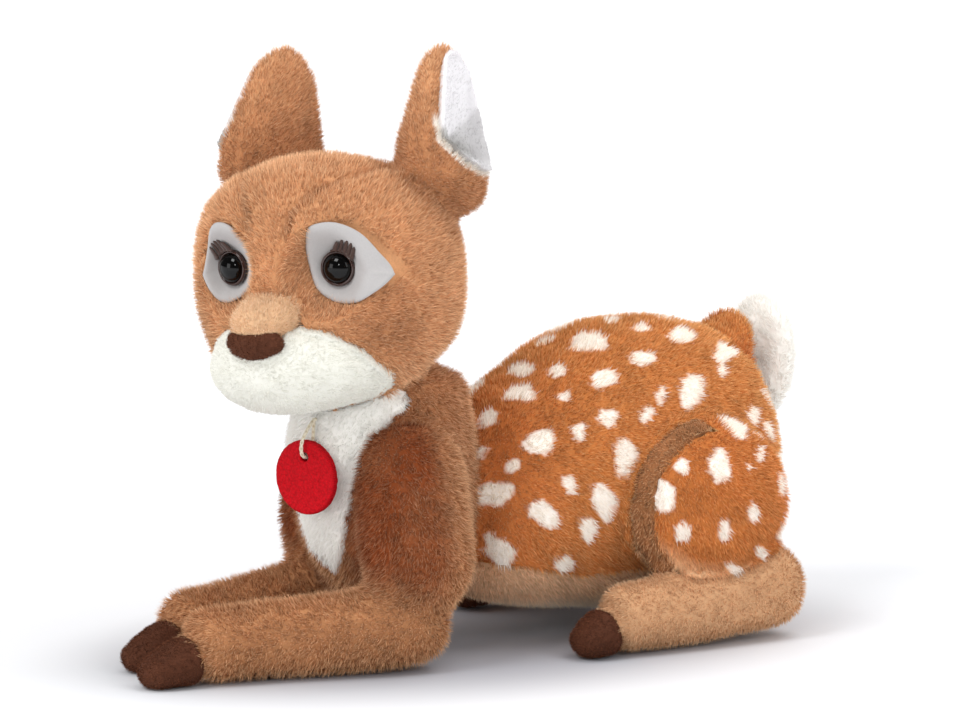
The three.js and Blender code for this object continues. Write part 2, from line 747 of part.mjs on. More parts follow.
// Tag: an embroidered disc that hangs from the neck seam on a loop of cord
const tagRadius = TAG_DIAMETER / 2;
const tagCentre = vec3(TAG_ASIDE, -TAG_FORWARD, TAG_MIDDLE_HEIGHT);
const tagFrame = new THREE.Matrix4().makeTranslation(tagCentre.x, tagCentre.y, tagCentre.z)
  .multiply(new THREE.Matrix4().makeRotationZ(TAG_TURN * DEG))
  .multiply(new THREE.Matrix4().makeRotationX(Math.PI / 2));
const holeRise = tagRadius * 0.55;
function tagSolid() {
  const disc = new THREE.CylinderGeometry(tagRadius, tagRadius, TAG_THICKNESS, 32);
  disc.rotateX(Math.PI / 2);
  const bore = new THREE.CylinderGeometry(TAG_HOLE / 2, TAG_HOLE / 2, 2 * TAG_THICKNESS, 16);
  bore.rotateX(Math.PI / 2);
  bore.translate(0, holeRise, 0);
  return toSolid(disc.applyMatrix4(tagFrame)).subtract(toSolid(bore.applyMatrix4(tagFrame)));
}
// The cord's route, from the seam down in front of the disc, through its hole and back up behind it
const cordPoints = [
  [12.4, -83.2, 103.4], [12.6, -85.2, 102.2], [12.9, -87.4, 99.8], [13.1, -89.2, 97.2],
  [13.2, -90.5, 94.4], [13.2, -90.9, 91.2], [12.8, -89.9, 88.7], [12.0, -87.5, 87.8],
  [11.2, -85.1, 88.7], [10.8, -84.1, 91.2], [10.7, -83.8, 94.0], [10.5, -83.4, 97.0],
  [10.3, -83.1, 100.2], [10.2, -82.8, 103.4],
];
function cordSolid() {
  const route = new THREE.CatmullRomCurve3(cordPoints.map((point) => vec3(...point)), false, 'centripetal');
  const radius = CORD_DIAMETER / 2;
  const section = new THREE.Shape(ellipse(0, 0, radius, radius, 8));
  const steps = Math.round(route.getLength() / (2 * CORD_DIAMETER));
  return toSolid(new THREE.ExtrudeGeometry(section, { steps, extrudePath: route, bevelEnabled: false }));
}

// Assembly
const deer = new THREE.Group();
const head = new THREE.Group();
const add = (name, solid, material, group = deer) => group.add(namedMesh(name, solid, material));

// Torso: an upper spotted panel, a belly panel and a white patch under the tail
const bellySeamShares = [[-0.4, 0.32], [0.12, 0.28], [0.30, 0.23], [0.5, 0.24], [0.8, 0.20], [1.4, 0.18]];
function bellyRegion(grow) {
  const seam = bellySeamShares.map(([y, z]) => vec2(torsoY(y), BACK_HEIGHT * z + grow));
  return slab([...seam, vec2(torsoY(1.4), -BACK_HEIGHT), vec2(torsoY(-0.4), -BACK_HEIGHT)],
    OVERRUN, sideView(-OVERRUN / 2));
}
function rumpRegion(grow) {
  const outline = ellipse(
    0, BACK_HEIGHT * 0.46, TORSO_HALF_WIDTH * 0.5 + grow, BACK_HEIGHT * 0.17 + grow, 14);
  return slab(outline, TORSO_LENGTH, frontView(torsoY(0.86), TORSO_LENGTH));
}
const neckHole = neck.solid(-2 * SKIN);
const tailForms = new JointForm(tailTop, tailUnder);
const tailRoom = sweptRoom(tailForms, tailHinge, X_AXIS, TAIL_FLEX, [-1, -0.5, 0, 0.5, 1]);
const torsoSkin = cutBy(skinOf(torso), neckHole, tailRoom, floorBlock);
add('torso_back', cutBy(torsoSkin, bellyRegion(GAP), rumpRegion(GAP)), SPOTTED_PLUSH);
add('torso_belly', cutBy(torsoSkin.intersect(bellyRegion(0)), rumpRegion(GAP)), TAN_PLUSH);
add('rump_patch', torsoSkin.intersect(rumpRegion(0)), WHITE_PLUSH);
add('torso_stuffing', stuffingOf(torso).subtract(tailRoom), STUFFING);

// Neck, with the white bib let into its front
const torsoRoom = torso.solid(GAP);
const skullRoom = skull.solid(GAP, headPlace);
const muzzleRoom = muzzle.solid(GAP, headPlace);
const bibShares = [[-1.1, 1.00], [-0.80, 0.62], [-0.62, 0.36], [-0.34, 0.12], [0.06, 0.00],
  [0.42, 0.12], [0.66, 0.36], [0.96, 0.62], [1.2, 1.00]];
function bibRegion(grow) {
  const floor = neckHeight - BIB_DROP - grow;
  const half = BIB_HALF_WIDTH + grow;
  const lower = bibShares.map(([x, z]) => vec2(BIB_OFFSET + x * half, floor + z * BIB_DROP));
  const top = floor + 2 * BIB_DROP;
  const outline = [...lower, vec2(lower.at(-1).x, top), vec2(lower[0].x, top)];
  return slab(outline, OVERRUN / 2, frontView(-NECK_SETBACK - OVERRUN / 2, OVERRUN / 2));
}
const neckSkin = cutBy(skinOf(neck), torsoRoom, skullRoom, muzzleRoom, floorBlock);
add('neck_skin', cutBy(neckSkin, bibRegion(GAP)), BROWN_PLUSH);
add('chest_bib', neckSkin.intersect(bibRegion(0)), WHITE_PLUSH);
add('neck_stuffing', cutBy(stuffingOf(neck), torsoRoom, skullRoom, muzzleRoom, floorBlock), STUFFING);

// Legs
const neckRoom = neck.solid(GAP);
const bodyRooms = [torsoRoom, neckRoom, skullRoom, muzzleRoom];
for (const [name, side] of SIDES) {
  const leg = foreleg(side);
  add(`foreleg_${name}`, cutBy(skinOf(leg), ...bodyRooms, floorBlock), BROWN_PLUSH);
  add(`foreleg_stuffing_${name}`, cutBy(stuffingOf(leg), ...bodyRooms), STUFFING);
  const setBack = side === LEFT ? 0 : FORE_STAGGER;
  const wristY = -forearmStart - FOREARM_REACH + setBack + HOOF_HALF_HEIGHT * 0.53;
  const wristX = side * SHOULDER_SPREAD * 0.46;
  const foreHoof = hoof(wristX, wristY, HOOF_LENGTH, side * 0.08);
  add(`fore_hoof_${name}`, cutBy(foreHoof.solid(), leg.solid(GAP), floorBlock), BROWN_VELOUR);

  const thigh = haunch(side);
  const foot = hindFoot(side);
  const thighSkin = skinOf(thigh).subtract(torsoRoom);
  add(`haunch_${name}`, thighSkin.subtract(bandRegion(side, GAP)), SPOTTED_PLUSH);
  add(`haunch_band_${name}`, thighSkin.intersect(bandRegion(side, 0)), TAN_PLUSH);
  add(`haunch_stuffing_${name}`, stuffingOf(thigh).subtract(torsoRoom), STUFFING);
  const footRooms = [torsoRoom, thigh.solid(GAP)];
  add(`hind_foot_${name}`, cutBy(skinOf(foot), ...footRooms, floorBlock), TAN_PLUSH);
  add(`hind_foot_stuffing_${name}`, cutBy(stuffingOf(foot), ...footRooms), STUFFING);
  const hindHoof = hoof(side * FOOT_SPREAD, footCuffY(side) + HOOF_HALF_HEIGHT * 0.44, HIND_HOOF_LENGTH, 0);
  add(`hind_hoof_${name}`, cutBy(hindHoof.solid(), foot.solid(GAP), floorBlock), BROWN_VELOUR);
}

// Tail
add('tail_top', tailTop.solid().subtract(tailUnder.solid(GAP)), TAN_PLUSH);
add('tail_underside', tailUnder.solid(), WHITE_PLUSH);

// Head
head.position.set(0, -HEAD_SETFORWARD, HEAD_LIFT);
head.rotation.set(0, -HEAD_ROLL * DEG, HEAD_TURN * DEG, 'ZYX');
deer.add(head);
const fromBody = headPlace.clone().invert();
const hollows = SIDES.map(([, side]) => eyeHollow(side));
const earRooms = SIDES.map(([, side]) =>
  sweptRoom(ear, vec3(0, 0, 0), vec3(0, 1, 0), EAR_FLEX, [-1, 0, 1], earFrame(side)));
const throatHole = neck.solid(-2 * SKIN, fromBody);
const facedInside = (depth) => cutBy(skull.solid(-depth, IDENTITY, INNER_COARSENESS),
  ...hollows.map((hollow) => hollow.solid(depth, IDENTITY, 2)));
const facedSkin = cutBy(skull.solid(), ...hollows.map((hollow) => hollow.solid()))
  .subtract(facedInside(SKIN));
const washerRooms = SIDES.map(([, side]) =>
  eyeBar(side, WASHER_DIAMETER / 2 + GAP, -shankLength - GAP, SKIN));
const shankRooms = SIDES.map(([, side]) => eyeBar(side, shankRadius + GAP, -6 * SKIN, SKIN)
  .add(eyeBar(side, eyeRadius * 1.2, -GAP, 3 * SKIN)));
const muzzleFace = muzzle.solid(GAP);
const bridgeRoom = bridge.solid(GAP);
const faceAt = (depth) => cutBy(skull.solid(depth), ...hollows.map((hollow) => hollow.solid(-depth)));
add('head_skin', cutBy(facedSkin, ...earRooms, ...shankRooms, throatHole, muzzleFace, bridgeRoom),
  TAN_PLUSH, head);
add('head_stuffing', cutBy(facedInside(SKIN + 2 * GAP), ...earRooms, ...washerRooms, muzzleFace, bridgeRoom),
  STUFFING, head);
add('muzzle', cutBy(muzzle.solid(), bridgeRoom, neck.solid(-SKIN - 2 * GAP, fromBody)), WHITE_PLUSH, head);
add('nose_bridge', bridge.solid(), TAN_VELOUR, head);
add('nose', cutBy(nose.solid(), muzzleFace, bridgeRoom), BROWN_VELOUR, head);

SIDES.forEach(([name, side], k) => {
  const outlineRoom = slab(almond(side, 0), OVERRUN, frontView(-OVERRUN, OVERRUN));
  const felt = faceAt(GAP + FELT).subtract(faceAt(GAP)).intersect(outlineRoom);
  add(`eye_patch_${name}`, cutBy(felt, shankRooms[k], bridgeRoom, muzzleFace), WHITE_FELT, head);
  add(`eye_${name}`, eyeSolid(side), EYE_GLOSS, head);
  const washer = eyeBar(side, WASHER_DIAMETER / 2, washerBack, washerFront)
    .subtract(eyeBar(side, shankRadius + GAP, -6 * SKIN, SKIN));
  add(`eye_washer_${name}`, washer, WASHER_PLASTIC, head);
  add(`eyelashes_${name}`, lashSolid(side), LASH_FILM, head);
  const place = earFrame(side);
  const cup = earCup(side);
  const shell = ear.solid(0, place).subtract(cup.solid(0, place));
  add(`ear_${name}`, shell, TAN_PLUSH, head);
  const lining = ear.solid(-GAP, place).intersect(cup.solid(-GAP, place))
    .subtract(cup.solid(-GAP - EAR_LINING, place));
  add(`ear_lining_${name}`, lining, WHITE_PLUSH, head);
});

// Tag
add('tag_disc', tagSolid(), TAG_RED);
add('tag_cord', cordSolid(), CORD_CREAM);

// The origin stands under the middle of the toy, on the surface that it lies on
const bounds = new THREE.Box3().setFromObject(deer, true);
const middle = bounds.getCenter(new THREE.Vector3());
deer.position.set(-middle.x, -middle.y, -bounds.min.z);
deer.updateMatrixWorld(true);

// Hinges, for whoever drives the joints
const hingeOf = (point, matrix) => point.clone().applyMatrix4(matrix).add(deer.position).toArray();
deer.userData.hinges = {
  shift: deer.position.toArray(),
  ears: SIDES.map(([name, side]) => ({
    name,
    at: hingeOf(earHinge(side), headPlace),
    axis: vec3(0, 1, 0).transformDirection(earFrame(side)).transformDirection(headPlace).toArray(),
  })),
  tail: hingeOf(tailHinge, IDENTITY),
  tagHole: hingeOf(vec3(0, holeRise, 0), tagFrame),
  tagSeam: hingeOf(vec3(...cordPoints[0]).lerp(vec3(...cordPoints.at(-1)), 0.5), IDENTITY),
};

export default deer;
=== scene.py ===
"""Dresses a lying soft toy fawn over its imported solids: plush, felt, velour, eyes and a cord with a tag."""
import json
import logging
import math
from dataclasses import dataclass, field
from enum import Enum
from typing import Callable, Iterable

import bmesh
import bpy
import numpy as np
from mathutils import Matrix, Vector
from mathutils.bvhtree import BVHTree


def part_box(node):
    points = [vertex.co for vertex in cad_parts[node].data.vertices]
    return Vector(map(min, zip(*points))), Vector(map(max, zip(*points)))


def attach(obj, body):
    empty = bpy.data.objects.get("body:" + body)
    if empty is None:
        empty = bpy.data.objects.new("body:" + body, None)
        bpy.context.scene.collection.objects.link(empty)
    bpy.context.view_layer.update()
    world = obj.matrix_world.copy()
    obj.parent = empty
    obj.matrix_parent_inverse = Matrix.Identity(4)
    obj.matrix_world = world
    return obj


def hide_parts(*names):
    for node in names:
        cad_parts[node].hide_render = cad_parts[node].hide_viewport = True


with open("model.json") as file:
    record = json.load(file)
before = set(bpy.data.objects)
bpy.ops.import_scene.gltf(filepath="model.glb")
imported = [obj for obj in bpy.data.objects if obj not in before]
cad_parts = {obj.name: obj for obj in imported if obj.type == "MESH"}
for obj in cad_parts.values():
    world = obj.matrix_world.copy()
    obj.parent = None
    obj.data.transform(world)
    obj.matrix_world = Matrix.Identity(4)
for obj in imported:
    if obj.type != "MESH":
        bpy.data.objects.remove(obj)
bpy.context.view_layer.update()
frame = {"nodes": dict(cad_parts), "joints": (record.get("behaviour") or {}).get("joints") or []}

log = logging.getLogger("fawn")
MM = 0.001
Colour = tuple[float, float, float]
Field = Callable[[np.ndarray], np.ndarray]


class Side(Enum):
    """The toy's own left and right."""

    LEFT = 1
    RIGHT = -1

    @property
    def word(self) -> str:
        """The side's name as the nodes spell it."""
        return self.name.lower()


def linear(red: float, green: float, blue: float) -> Colour:
    """Turns a screen colour of 0 to 255 into the linear values that a shader takes.

    Args:
        red: The red share.
        green: The green share.
        blue: The blue share.

    Returns:
        The linear colour.
    """
    shares = np.array([red, green, blue]) / 255
    values = np.where(shares <= 0.04045, shares / 12.92, ((shares + 0.055) / 1.055) ** 2.4)
    return tuple(float(value) for value in values)


def smoothstep(low: float, high: float, values: np.ndarray) -> np.ndarray:
    """Eases values from 0 at low to 1 at high."""
    share = np.clip((values - low) / (high - low), 0, 1)
    return share * share * (3 - 2 * share)


def unit(vectors: np.ndarray) -> np.ndarray:
    """Scales each row to length 1."""
    return vectors / np.maximum(np.linalg.norm(vectors, axis=-1, keepdims=True), 1e-9)


def lattice_noise(places: np.ndarray, size: float, seed: int) -> np.ndarray:
    """Smooth random values from 0 to 1.

    Args:
        places: Points, one a row, in metres.
        size: The width of a blob, in metres.
        seed: Picks the pattern.

    Returns:
        One value for each point.
    """
    cells = places / size
    low = np.floor(cells).astype(np.int64)
    share = cells - low
    ease = share * share * (3 - 2 * share)
    total = np.zeros(len(places))
    for corner in range(8):
        step = np.array([corner & 1, corner >> 1 & 1, corner >> 2 & 1])
        at = low + step
        mixed = (at[:, 0] * 73856093) ^ (at[:, 1] * 19349663) ^ (at[:, 2] * 83492791) ^ (seed * 2654435761)
        mixed = (mixed ^ (mixed >> 13)) * 1274126177 & 0x7FFFFFFF
        weight = np.prod(np.where(step, ease, 1 - ease), axis=1)
        total += weight * ((mixed >> 7 & 0xFFFF) / 65535)
    return total


# Shader helpers


@dataclass
class Nodes:
    """A short way to add and link nodes in a tree."""

    tree: bpy.types.NodeTree

    def add(self, kind: str, **values: object) -> bpy.types.Node:
        """Adds a node and sets its properties, or its inputs where a name matches one.

        Args:
            kind: The node's type name.
            values: Properties, or input sockets with their spaces written as underscores.

        Returns:
            The new node.
        """
        node = self.tree.nodes.new(kind)
        for name, value in values.items():
            if hasattr(node, name):
                setattr(node, name, value)
            else:
                self.feed(value, node.inputs[name.replace("_", " ")])
        return node

    def feed(self, value: object, socket: bpy.types.NodeSocket) -> None:
        """Links an output to a socket, or sets the socket's own value.

        Args:
            value: An output socket or a plain value.
            socket: The input socket.
        """
        if isinstance(value, bpy.types.NodeSocket):
            self.tree.links.new(value, socket)
        else:
            socket.default_value = value

    def math(self, operation: str, *terms: object) -> bpy.types.NodeSocket:
        """Puts in a Math node.

        Args:
            operation: The operation's name.
            terms: Its terms, as sockets or numbers.

        Returns:
            Its output.
        """
        node = self.add("ShaderNodeMath", operation=operation)
        for term, socket in zip(terms, node.inputs):
            self.feed(term, socket)
        return node.outputs[0]

    def mix(self, share: object, first: object, second: object, blend: str = "MIX") -> bpy.types.NodeSocket:
        """Mixes two colours.

        Args:
            share: How much of the second there is.
            first: The first colour.
            second: The second colour.
            blend: How they blend.

        Returns:
            The mixed colour.
        """
        node = self.add("ShaderNodeMix", data_type="RGBA", blend_type=blend)
        for value, socket in ((share, node.inputs[0]), (first, node.inputs[6]), (second, node.inputs[7])):
            self.feed(value, socket)
        return node.outputs[2]

    def read(self, name: str, output: str = "Fac") -> bpy.types.NodeSocket:
        """Reads an attribute of the mesh."""
        return self.add("ShaderNodeAttribute", attribute_name=name).outputs[output]


def new_group(name: str, inputs: dict[str, str], outputs: dict[str, str]) -> tuple[Nodes, dict, dict]:
    """Starts a shader node group.

    Args:
        name: The group's name.
        inputs: Socket names and types.
        outputs: Socket names and types.

    Returns:
        The node helper, the group's input sockets by name and its output sockets by name.
    """
    tree = bpy.data.node_groups.new(name, "ShaderNodeTree")
    for names, way in ((inputs, "INPUT"), (outputs, "OUTPUT")):
        for label, kind in names.items():
            tree.interface.new_socket(label, in_out=way, socket_type=kind)
    start = tree.nodes.new("NodeGroupInput")
    end = tree.nodes.new("NodeGroupOutput")
    return Nodes(tree), {s.name: s for s in start.outputs}, {s.name: s for s in end.inputs}


FLOAT, COLOUR, VECTOR = "NodeSocketFloat", "NodeSocketColor", "NodeSocketVector"


class SharedEffects:
    """The node groups that more than one material uses, each built once."""

    def __init__(self) -> None:
        """Builds the groups."""
        self.pile = self._pile_colour()
        self.grain = self._grain()

    @staticmethod
    def _pile_colour() -> bpy.types.NodeTree:
        """Colours a strand from its root to its tip, with mottling, pale spots and shaded places.

        Returns:
            The node group.
        """
        nodes, given, result = new_group(
            "pile_colour",
            {"Deep": COLOUR, "Body": COLOUR, "Tip": COLOUR, "Pale": COLOUR, "Shaded": COLOUR,
             "Tip Share": FLOAT, "Mottling": FLOAT, "Along": FLOAT, "Pale Mask": FLOAT, "Shade Mask": FLOAT,
             "Chance": FLOAT, "Root": VECTOR},
            {"Colour": COLOUR, "Roughness": FLOAT})
        patches = nodes.add("ShaderNodeTexNoise", Vector=given["Root"], Scale=55.0, Detail=3.0, Roughness=0.6)
        tufts = nodes.add("ShaderNodeTexNoise", Vector=given["Root"], Scale=420.0, Detail=2.0, Roughness=0.5)
        specks = nodes.add("ShaderNodeTexNoise", Vector=given["Root"], Scale=1500.0, Detail=1.0,
                           Roughness=0.5)
        wave = nodes.math("ADD", nodes.math("MULTIPLY", patches.outputs["Fac"], 0.4), nodes.math(
            "ADD", nodes.math("MULTIPLY", tufts.outputs["Fac"], 0.25),
            nodes.math("MULTIPLY", specks.outputs["Fac"], 0.35)))
        uneven = nodes.math("MULTIPLY", nodes.math("SUBTRACT", wave, 0.5), nodes.math(
            "MULTIPLY", given["Mottling"], 2.2))
        rise = nodes.math("POWER", given["Along"], 0.8)
        ground = nodes.mix(rise, given["Deep"], given["Body"])
        shaded = nodes.mix(given["Shade Mask"], ground, given["Shaded"])
        end = nodes.math("POWER", given["Along"], 2.2)
        bright = nodes.math("MULTIPLY", end, nodes.math("MULTIPLY", given["Tip Share"], nodes.math(
            "ADD", 0.35, nodes.math("MULTIPLY", given["Chance"], 0.9))))
        faded = nodes.math("MULTIPLY", bright, nodes.math("SUBTRACT", 1.0, nodes.math(
            "MULTIPLY", given["Shade Mask"], 0.45)))
        tipped = nodes.mix(nodes.math("MINIMUM", faded, 1.0), shaded, given["Tip"])
        level = nodes.math("ADD", 1.0, nodes.math("ADD", uneven, nodes.math(
            "MULTIPLY", nodes.math("SUBTRACT", given["Chance"], 0.5), given["Mottling"])))
        grey = nodes.add("ShaderNodeCombineColor")
        for socket in grey.inputs:
            nodes.feed(level, socket)
        mottled = nodes.mix(1.0, tipped, grey.outputs[0], "MULTIPLY")
        white_root = nodes.mix(rise, nodes.mix(0.12, given["Pale"], given["Body"]), given["Pale"])
        nodes.feed(nodes.mix(given["Pale Mask"], mottled, white_root), result["Colour"])
        rough = nodes.math("ADD", 0.72, nodes.math("MULTIPLY", tufts.outputs["Fac"], 0.25))
        nodes.feed(rough, result["Roughness"])
        return nodes.tree

    @staticmethod
    def _grain() -> bpy.types.NodeTree:
        """Fine uneven grain of short fibres, as a height and a light and dark factor.

        Returns:
            The node group.
        """
        nodes, given, result = new_group(
            "fibre_grain", {"Vector": VECTOR, "Scale": FLOAT, "Depth": FLOAT},
            {"Height": FLOAT, "Factor": FLOAT})
        fine = nodes.add("ShaderNodeTexNoise", Vector=given["Vector"], Scale=given["Scale"], Detail=4.0,
                         Roughness=0.7)
        specks = nodes.add("ShaderNodeTexVoronoi", Vector=given["Vector"],
                           Scale=nodes.math("MULTIPLY", given["Scale"], 1.7))
        both = nodes.math("ADD", nodes.math("MULTIPLY", fine.outputs["Fac"], 0.65),
                          nodes.math("MULTIPLY", specks.outputs["Distance"], 0.35))
        nodes.feed(nodes.math("MULTIPLY", both, given["Depth"]), result["Height"])
        nodes.feed(nodes.math("ADD", 0.8, nodes.math("MULTIPLY", both, 0.4)), result["Factor"])
        return nodes.tree


EFFECTS = SharedEffects()


@dataclass(frozen=True)
class Shading:
    """The even values of a finish, set on the shader itself."""

    roughness: float = 0.9
    sheen: float = 0.0
    sheen_roughness: float = 0.5
    coat: float = 0.0
    specular: float = 0.5


def start_material(name: str, shading: Shading) -> tuple[bpy.types.Material, Nodes, bpy.types.Node]:
    """Makes a material with a Principled shader.

    Args:
        name: The material's name.
        shading: Its even values.

    Returns:
        The material, its node helper and its shader node.
    """
    material = bpy.data.materials.new(name)
    material.use_nodes = True
    nodes = Nodes(material.node_tree)
    shader = material.node_tree.nodes["Principled BSDF"]
    shader.inputs["Roughness"].default_value = shading.roughness
    shader.inputs["Sheen Weight"].default_value = shading.sheen
    shader.inputs["Sheen Roughness"].default_value = shading.sheen_roughness
    shader.inputs["Coat Weight"].default_value = shading.coat
    shader.inputs["Specular IOR Level"].default_value = shading.specular
    return material, nodes, shader


@dataclass(frozen=True)
class PlushFinish:
    """A pile cloth: its colours from root to tip, and how its strands stand."""

    name: str
    slot: str
    deep: Colour
    body: Colour
    tip: Colour
    shaded: Colour = linear(120, 74, 46)
    pale: Colour = linear(240, 238, 231)
    tip_share: float = 0.75
    mottling: float = 0.55
    pile_length: float = 3.6 * MM
    pile_width: float = 0.35 * MM
    rise: float = 1.0
    density: float = 1.5
    sink: float = 2.7 * MM
    unruly: float = 1.0
    sheen: float = 0.8

    def material(self) -> bpy.types.Material:
        """Makes the finish's material once.

        Returns:
            The material.
        """
        made = bpy.data.materials.get(self.name)
        if made:
            return made
        material, nodes, shader = start_material(self.name, Shading(0.9, self.sheen, 0.4, specular=0.15))
        shader.inputs["Sheen Tint"].default_value = (*self.tip, 1.0)
        group = nodes.add("ShaderNodeGroup", node_tree=EFFECTS.pile)
        colours = {"Deep": self.deep, "Body": self.body, "Tip": self.tip,
                   "Pale": self.pale, "Shaded": self.shaded}
        for label, colour in colours.items():
            group.inputs[label].default_value = (*colour, 1.0)
        group.inputs["Tip Share"].default_value = self.tip_share
        group.inputs["Mottling"].default_value = self.mottling
        masks = {"Along": "along", "Pale Mask": "pale", "Shade Mask": "shade", "Chance": "chance"}
        for label, name in masks.items():
            nodes.feed(nodes.read(name), group.inputs[label])
        nodes.feed(nodes.read("root", "Vector"), group.inputs["Root"])
        nodes.feed(group.outputs["Colour"], shader.inputs["Base Color"])
        nodes.feed(group.outputs["Roughness"], shader.inputs["Roughness"])
        return material


@dataclass(frozen=True)
class GrainFinish:
    """A smooth part with a fine grain: felt, velour backing, plastic, film or fibre."""

    name: str
    slot: str
    colour: Colour
    second: Colour
    shading: Shading
    scale: float = 900.0
    depth: float = 0.3
    bump: float = 0.4

    def material(self) -> bpy.types.Material:
        """Makes the finish's material once.

        Returns:
            The material.
        """
        made = bpy.data.materials.get(self.name)
        if made:
            return made
        material, nodes, shader = start_material(self.name, self.shading)
        place = nodes.add("ShaderNodeTexCoord").outputs["Object"]
        grain = nodes.add("ShaderNodeGroup", node_tree=EFFECTS.grain)
        nodes.feed(place, grain.inputs["Vector"])
        grain.inputs["Scale"].default_value = self.scale
        grain.inputs["Depth"].default_value = self.depth
        share = nodes.math("MULTIPLY", nodes.math("SUBTRACT", grain.outputs["Factor"], 0.8), 2.5)
        nodes.feed(nodes.mix(share, (*self.colour, 1.0), (*self.second, 1.0)), shader.inputs["Base Color"])
        bump = nodes.add("ShaderNodeBump", Strength=self.bump, Distance=0.2 * MM,
                         Height=grain.outputs["Height"])
        nodes.feed(bump.outputs["Normal"], shader.inputs["Normal"])
        return material


TAN = PlushFinish("tan_pile", "tan_plush", linear(186, 130, 88), linear(221, 165, 119), linear(247, 216, 178),
                  shaded=linear(166, 108, 68), pile_length=3.9 * MM)
BROWN = PlushFinish("brown_pile", "brown_plush", linear(160, 104, 64), linear(214, 160, 114),
                    linear(249, 213, 174), shaded=linear(134, 63, 24), pile_length=4.0 * MM, sheen=0.3)
SPOTTED = PlushFinish("spotted_pile", "spotted_plush", linear(180, 102, 48), linear(220, 146, 77),
                      linear(255, 220, 160), shaded=linear(196, 104, 50), pale=linear(255, 253, 247),
                      pile_length=3.2 * MM, tip_share=0.75, unruly=0.7)
HAUNCH = PlushFinish("haunch_pile", "spotted_plush", linear(180, 101, 47), linear(214, 136, 70),
                     linear(252, 204, 142), shaded=linear(236, 192, 150), pale=linear(255, 253, 247),
                     pile_length=3.2 * MM, tip_share=0.6, unruly=0.7)
LIMB = PlushFinish("limb_pile", "tan_plush", linear(194, 148, 108), linear(224, 181, 140),
                   linear(247, 215, 178), shaded=linear(180, 128, 90), pale=linear(252, 246, 226),
                   pile_length=2.8 * MM, tip_share=0.6, mottling=0.35, unruly=0.8)
BELLY = PlushFinish("belly_pile", "tan_plush", linear(214, 166, 126), linear(246, 206, 166),
                    linear(254, 232, 202), shaded=linear(180, 128, 90), pale=linear(253, 248, 232),
                    pile_length=2.8 * MM, tip_share=0.6, unruly=0.8)
BAND = PlushFinish("band_pile", "tan_plush", linear(126, 78, 46), linear(186, 126, 80), linear(248, 214, 168),
                   shaded=linear(150, 98, 64), pile_length=2.2 * MM, mottling=1.0)
WHITE = PlushFinish("white_pile", "white_plush", linear(244, 242, 236), linear(253, 252, 248),
                    linear(255, 255, 254), shaded=linear(212, 206, 192), tip_share=0.8, mottling=0.05,
                    pile_length=2.4 * MM, sink=2.0 * MM, rise=0.8, unruly=0.55, sheen=0.2)
JAW = PlushFinish("jaw_pile", "white_plush", linear(222, 221, 212), linear(230, 229, 220),
                  linear(238, 237, 230), shaded=linear(200, 195, 182), tip_share=0.8, mottling=0.03,
                  pile_length=1.5 * MM, pile_width=0.4 * MM, density=2.4, sink=1.0 * MM, rise=0.55,
                  unruly=0.4, sheen=0.2)
# The lining's shaded grey is its painted shade below the fold
LINING = PlushFinish("lining_pile", "white_plush", linear(226, 224, 226), linear(238, 236, 238),
                     linear(250, 249, 251), shaded=linear(126, 124, 118), tip_share=0.7, mottling=0.04,
                     pile_length=1.2 * MM, pile_width=0.36 * MM, density=2.1, sink=0.4 * MM, rise=0.5,
                     unruly=0.4, sheen=0.2)
BRIDGE = PlushFinish("bridge_velour", "tan_velour", linear(208, 166, 126), linear(230, 195, 158),
                     linear(248, 227, 200), tip_share=0.6, mottling=0.3, pile_length=1.9 * MM,
                     pile_width=0.31 * MM, density=2.7, sink=1.0 * MM, unruly=0.7)
DARK = PlushFinish("dark_velour", "brown_velour", linear(62, 34, 22), linear(110, 64, 44),
                   linear(156, 102, 74), tip_share=0.5, mottling=0.6, pile_length=1.2 * MM,
                   pile_width=0.28 * MM, density=3.0, sink=0.7 * MM, sheen=0.08)
FELT = GrainFinish("pressed_felt", "white_felt", linear(166, 163, 162), linear(184, 181, 180),
                   Shading(0.95, 0.2, 0.5, specular=0.1), scale=1300.0)
FILLING = GrainFinish("fibre_filling", "stuffing", linear(225, 222, 214), linear(247, 245, 240),
                      Shading(1.0, 0.4), scale=260.0, depth=1.0, bump=0.8)
EYE_BLACK = GrainFinish("eye_black", "eye_gloss", linear(4, 4, 4), linear(8, 7, 7),
                        Shading(0.03, specular=0.25), bump=0.0)
EYE_RIM = GrainFinish("eye_rim_brown", "eye_gloss", linear(44, 22, 15), linear(58, 30, 21),
                      Shading(0.14, coat=0.3), scale=300.0, bump=0.02)
WASHER = GrainFinish("moulded_washer", "washer_plastic", linear(222, 220, 214), linear(230, 228, 222),
                     Shading(0.5), scale=400.0, bump=0.1)
LASH = GrainFinish("lash_fabric", "lash_film", linear(46, 24, 16), linear(70, 40, 28),
                   Shading(0.55, 0.2), scale=1500.0, bump=0.3)


# Mesh helpers


def hinge(name: str) -> np.ndarray:
    """Where a joint turns, in metres."""
    return np.array(next(j["pos_m"] for j in frame["joints"] if j["name"] == name), float)


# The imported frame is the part's own drawing moved sideways, and the tail's hinge tells by how much
TAIL_HINGE_Y = 133.515 * MM
MIDDLE_X = float(hinge("tail_flex")[0])
SHIFT_Y = float(hinge("tail_flex")[1]) - TAIL_HINGE_Y


def node_object(name: str) -> bpy.types.Object:
    """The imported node's object."""
    return frame["nodes"][name]


def put(name: str, mesh: bpy.types.Mesh) -> bpy.types.Object:
    """Adds a mesh to the scene as an object at the origin.

    Args:
        name: The object's name.
        mesh: Its mesh.

    Returns:
        The object.
    """
    piece = bpy.data.objects.new(name, mesh)
    bpy.context.scene.collection.objects.link(piece)
    return piece


def corners_of(mesh: bpy.types.Mesh) -> np.ndarray:
    """Reads a mesh's corners.

    Args:
        mesh: The mesh.

    Returns:
        Points, one a row, in metres.
    """
    values = np.empty(len(mesh.vertices) * 3, np.float32)
    mesh.vertices.foreach_get("co", values)
    return values.reshape(-1, 3).astype(float)


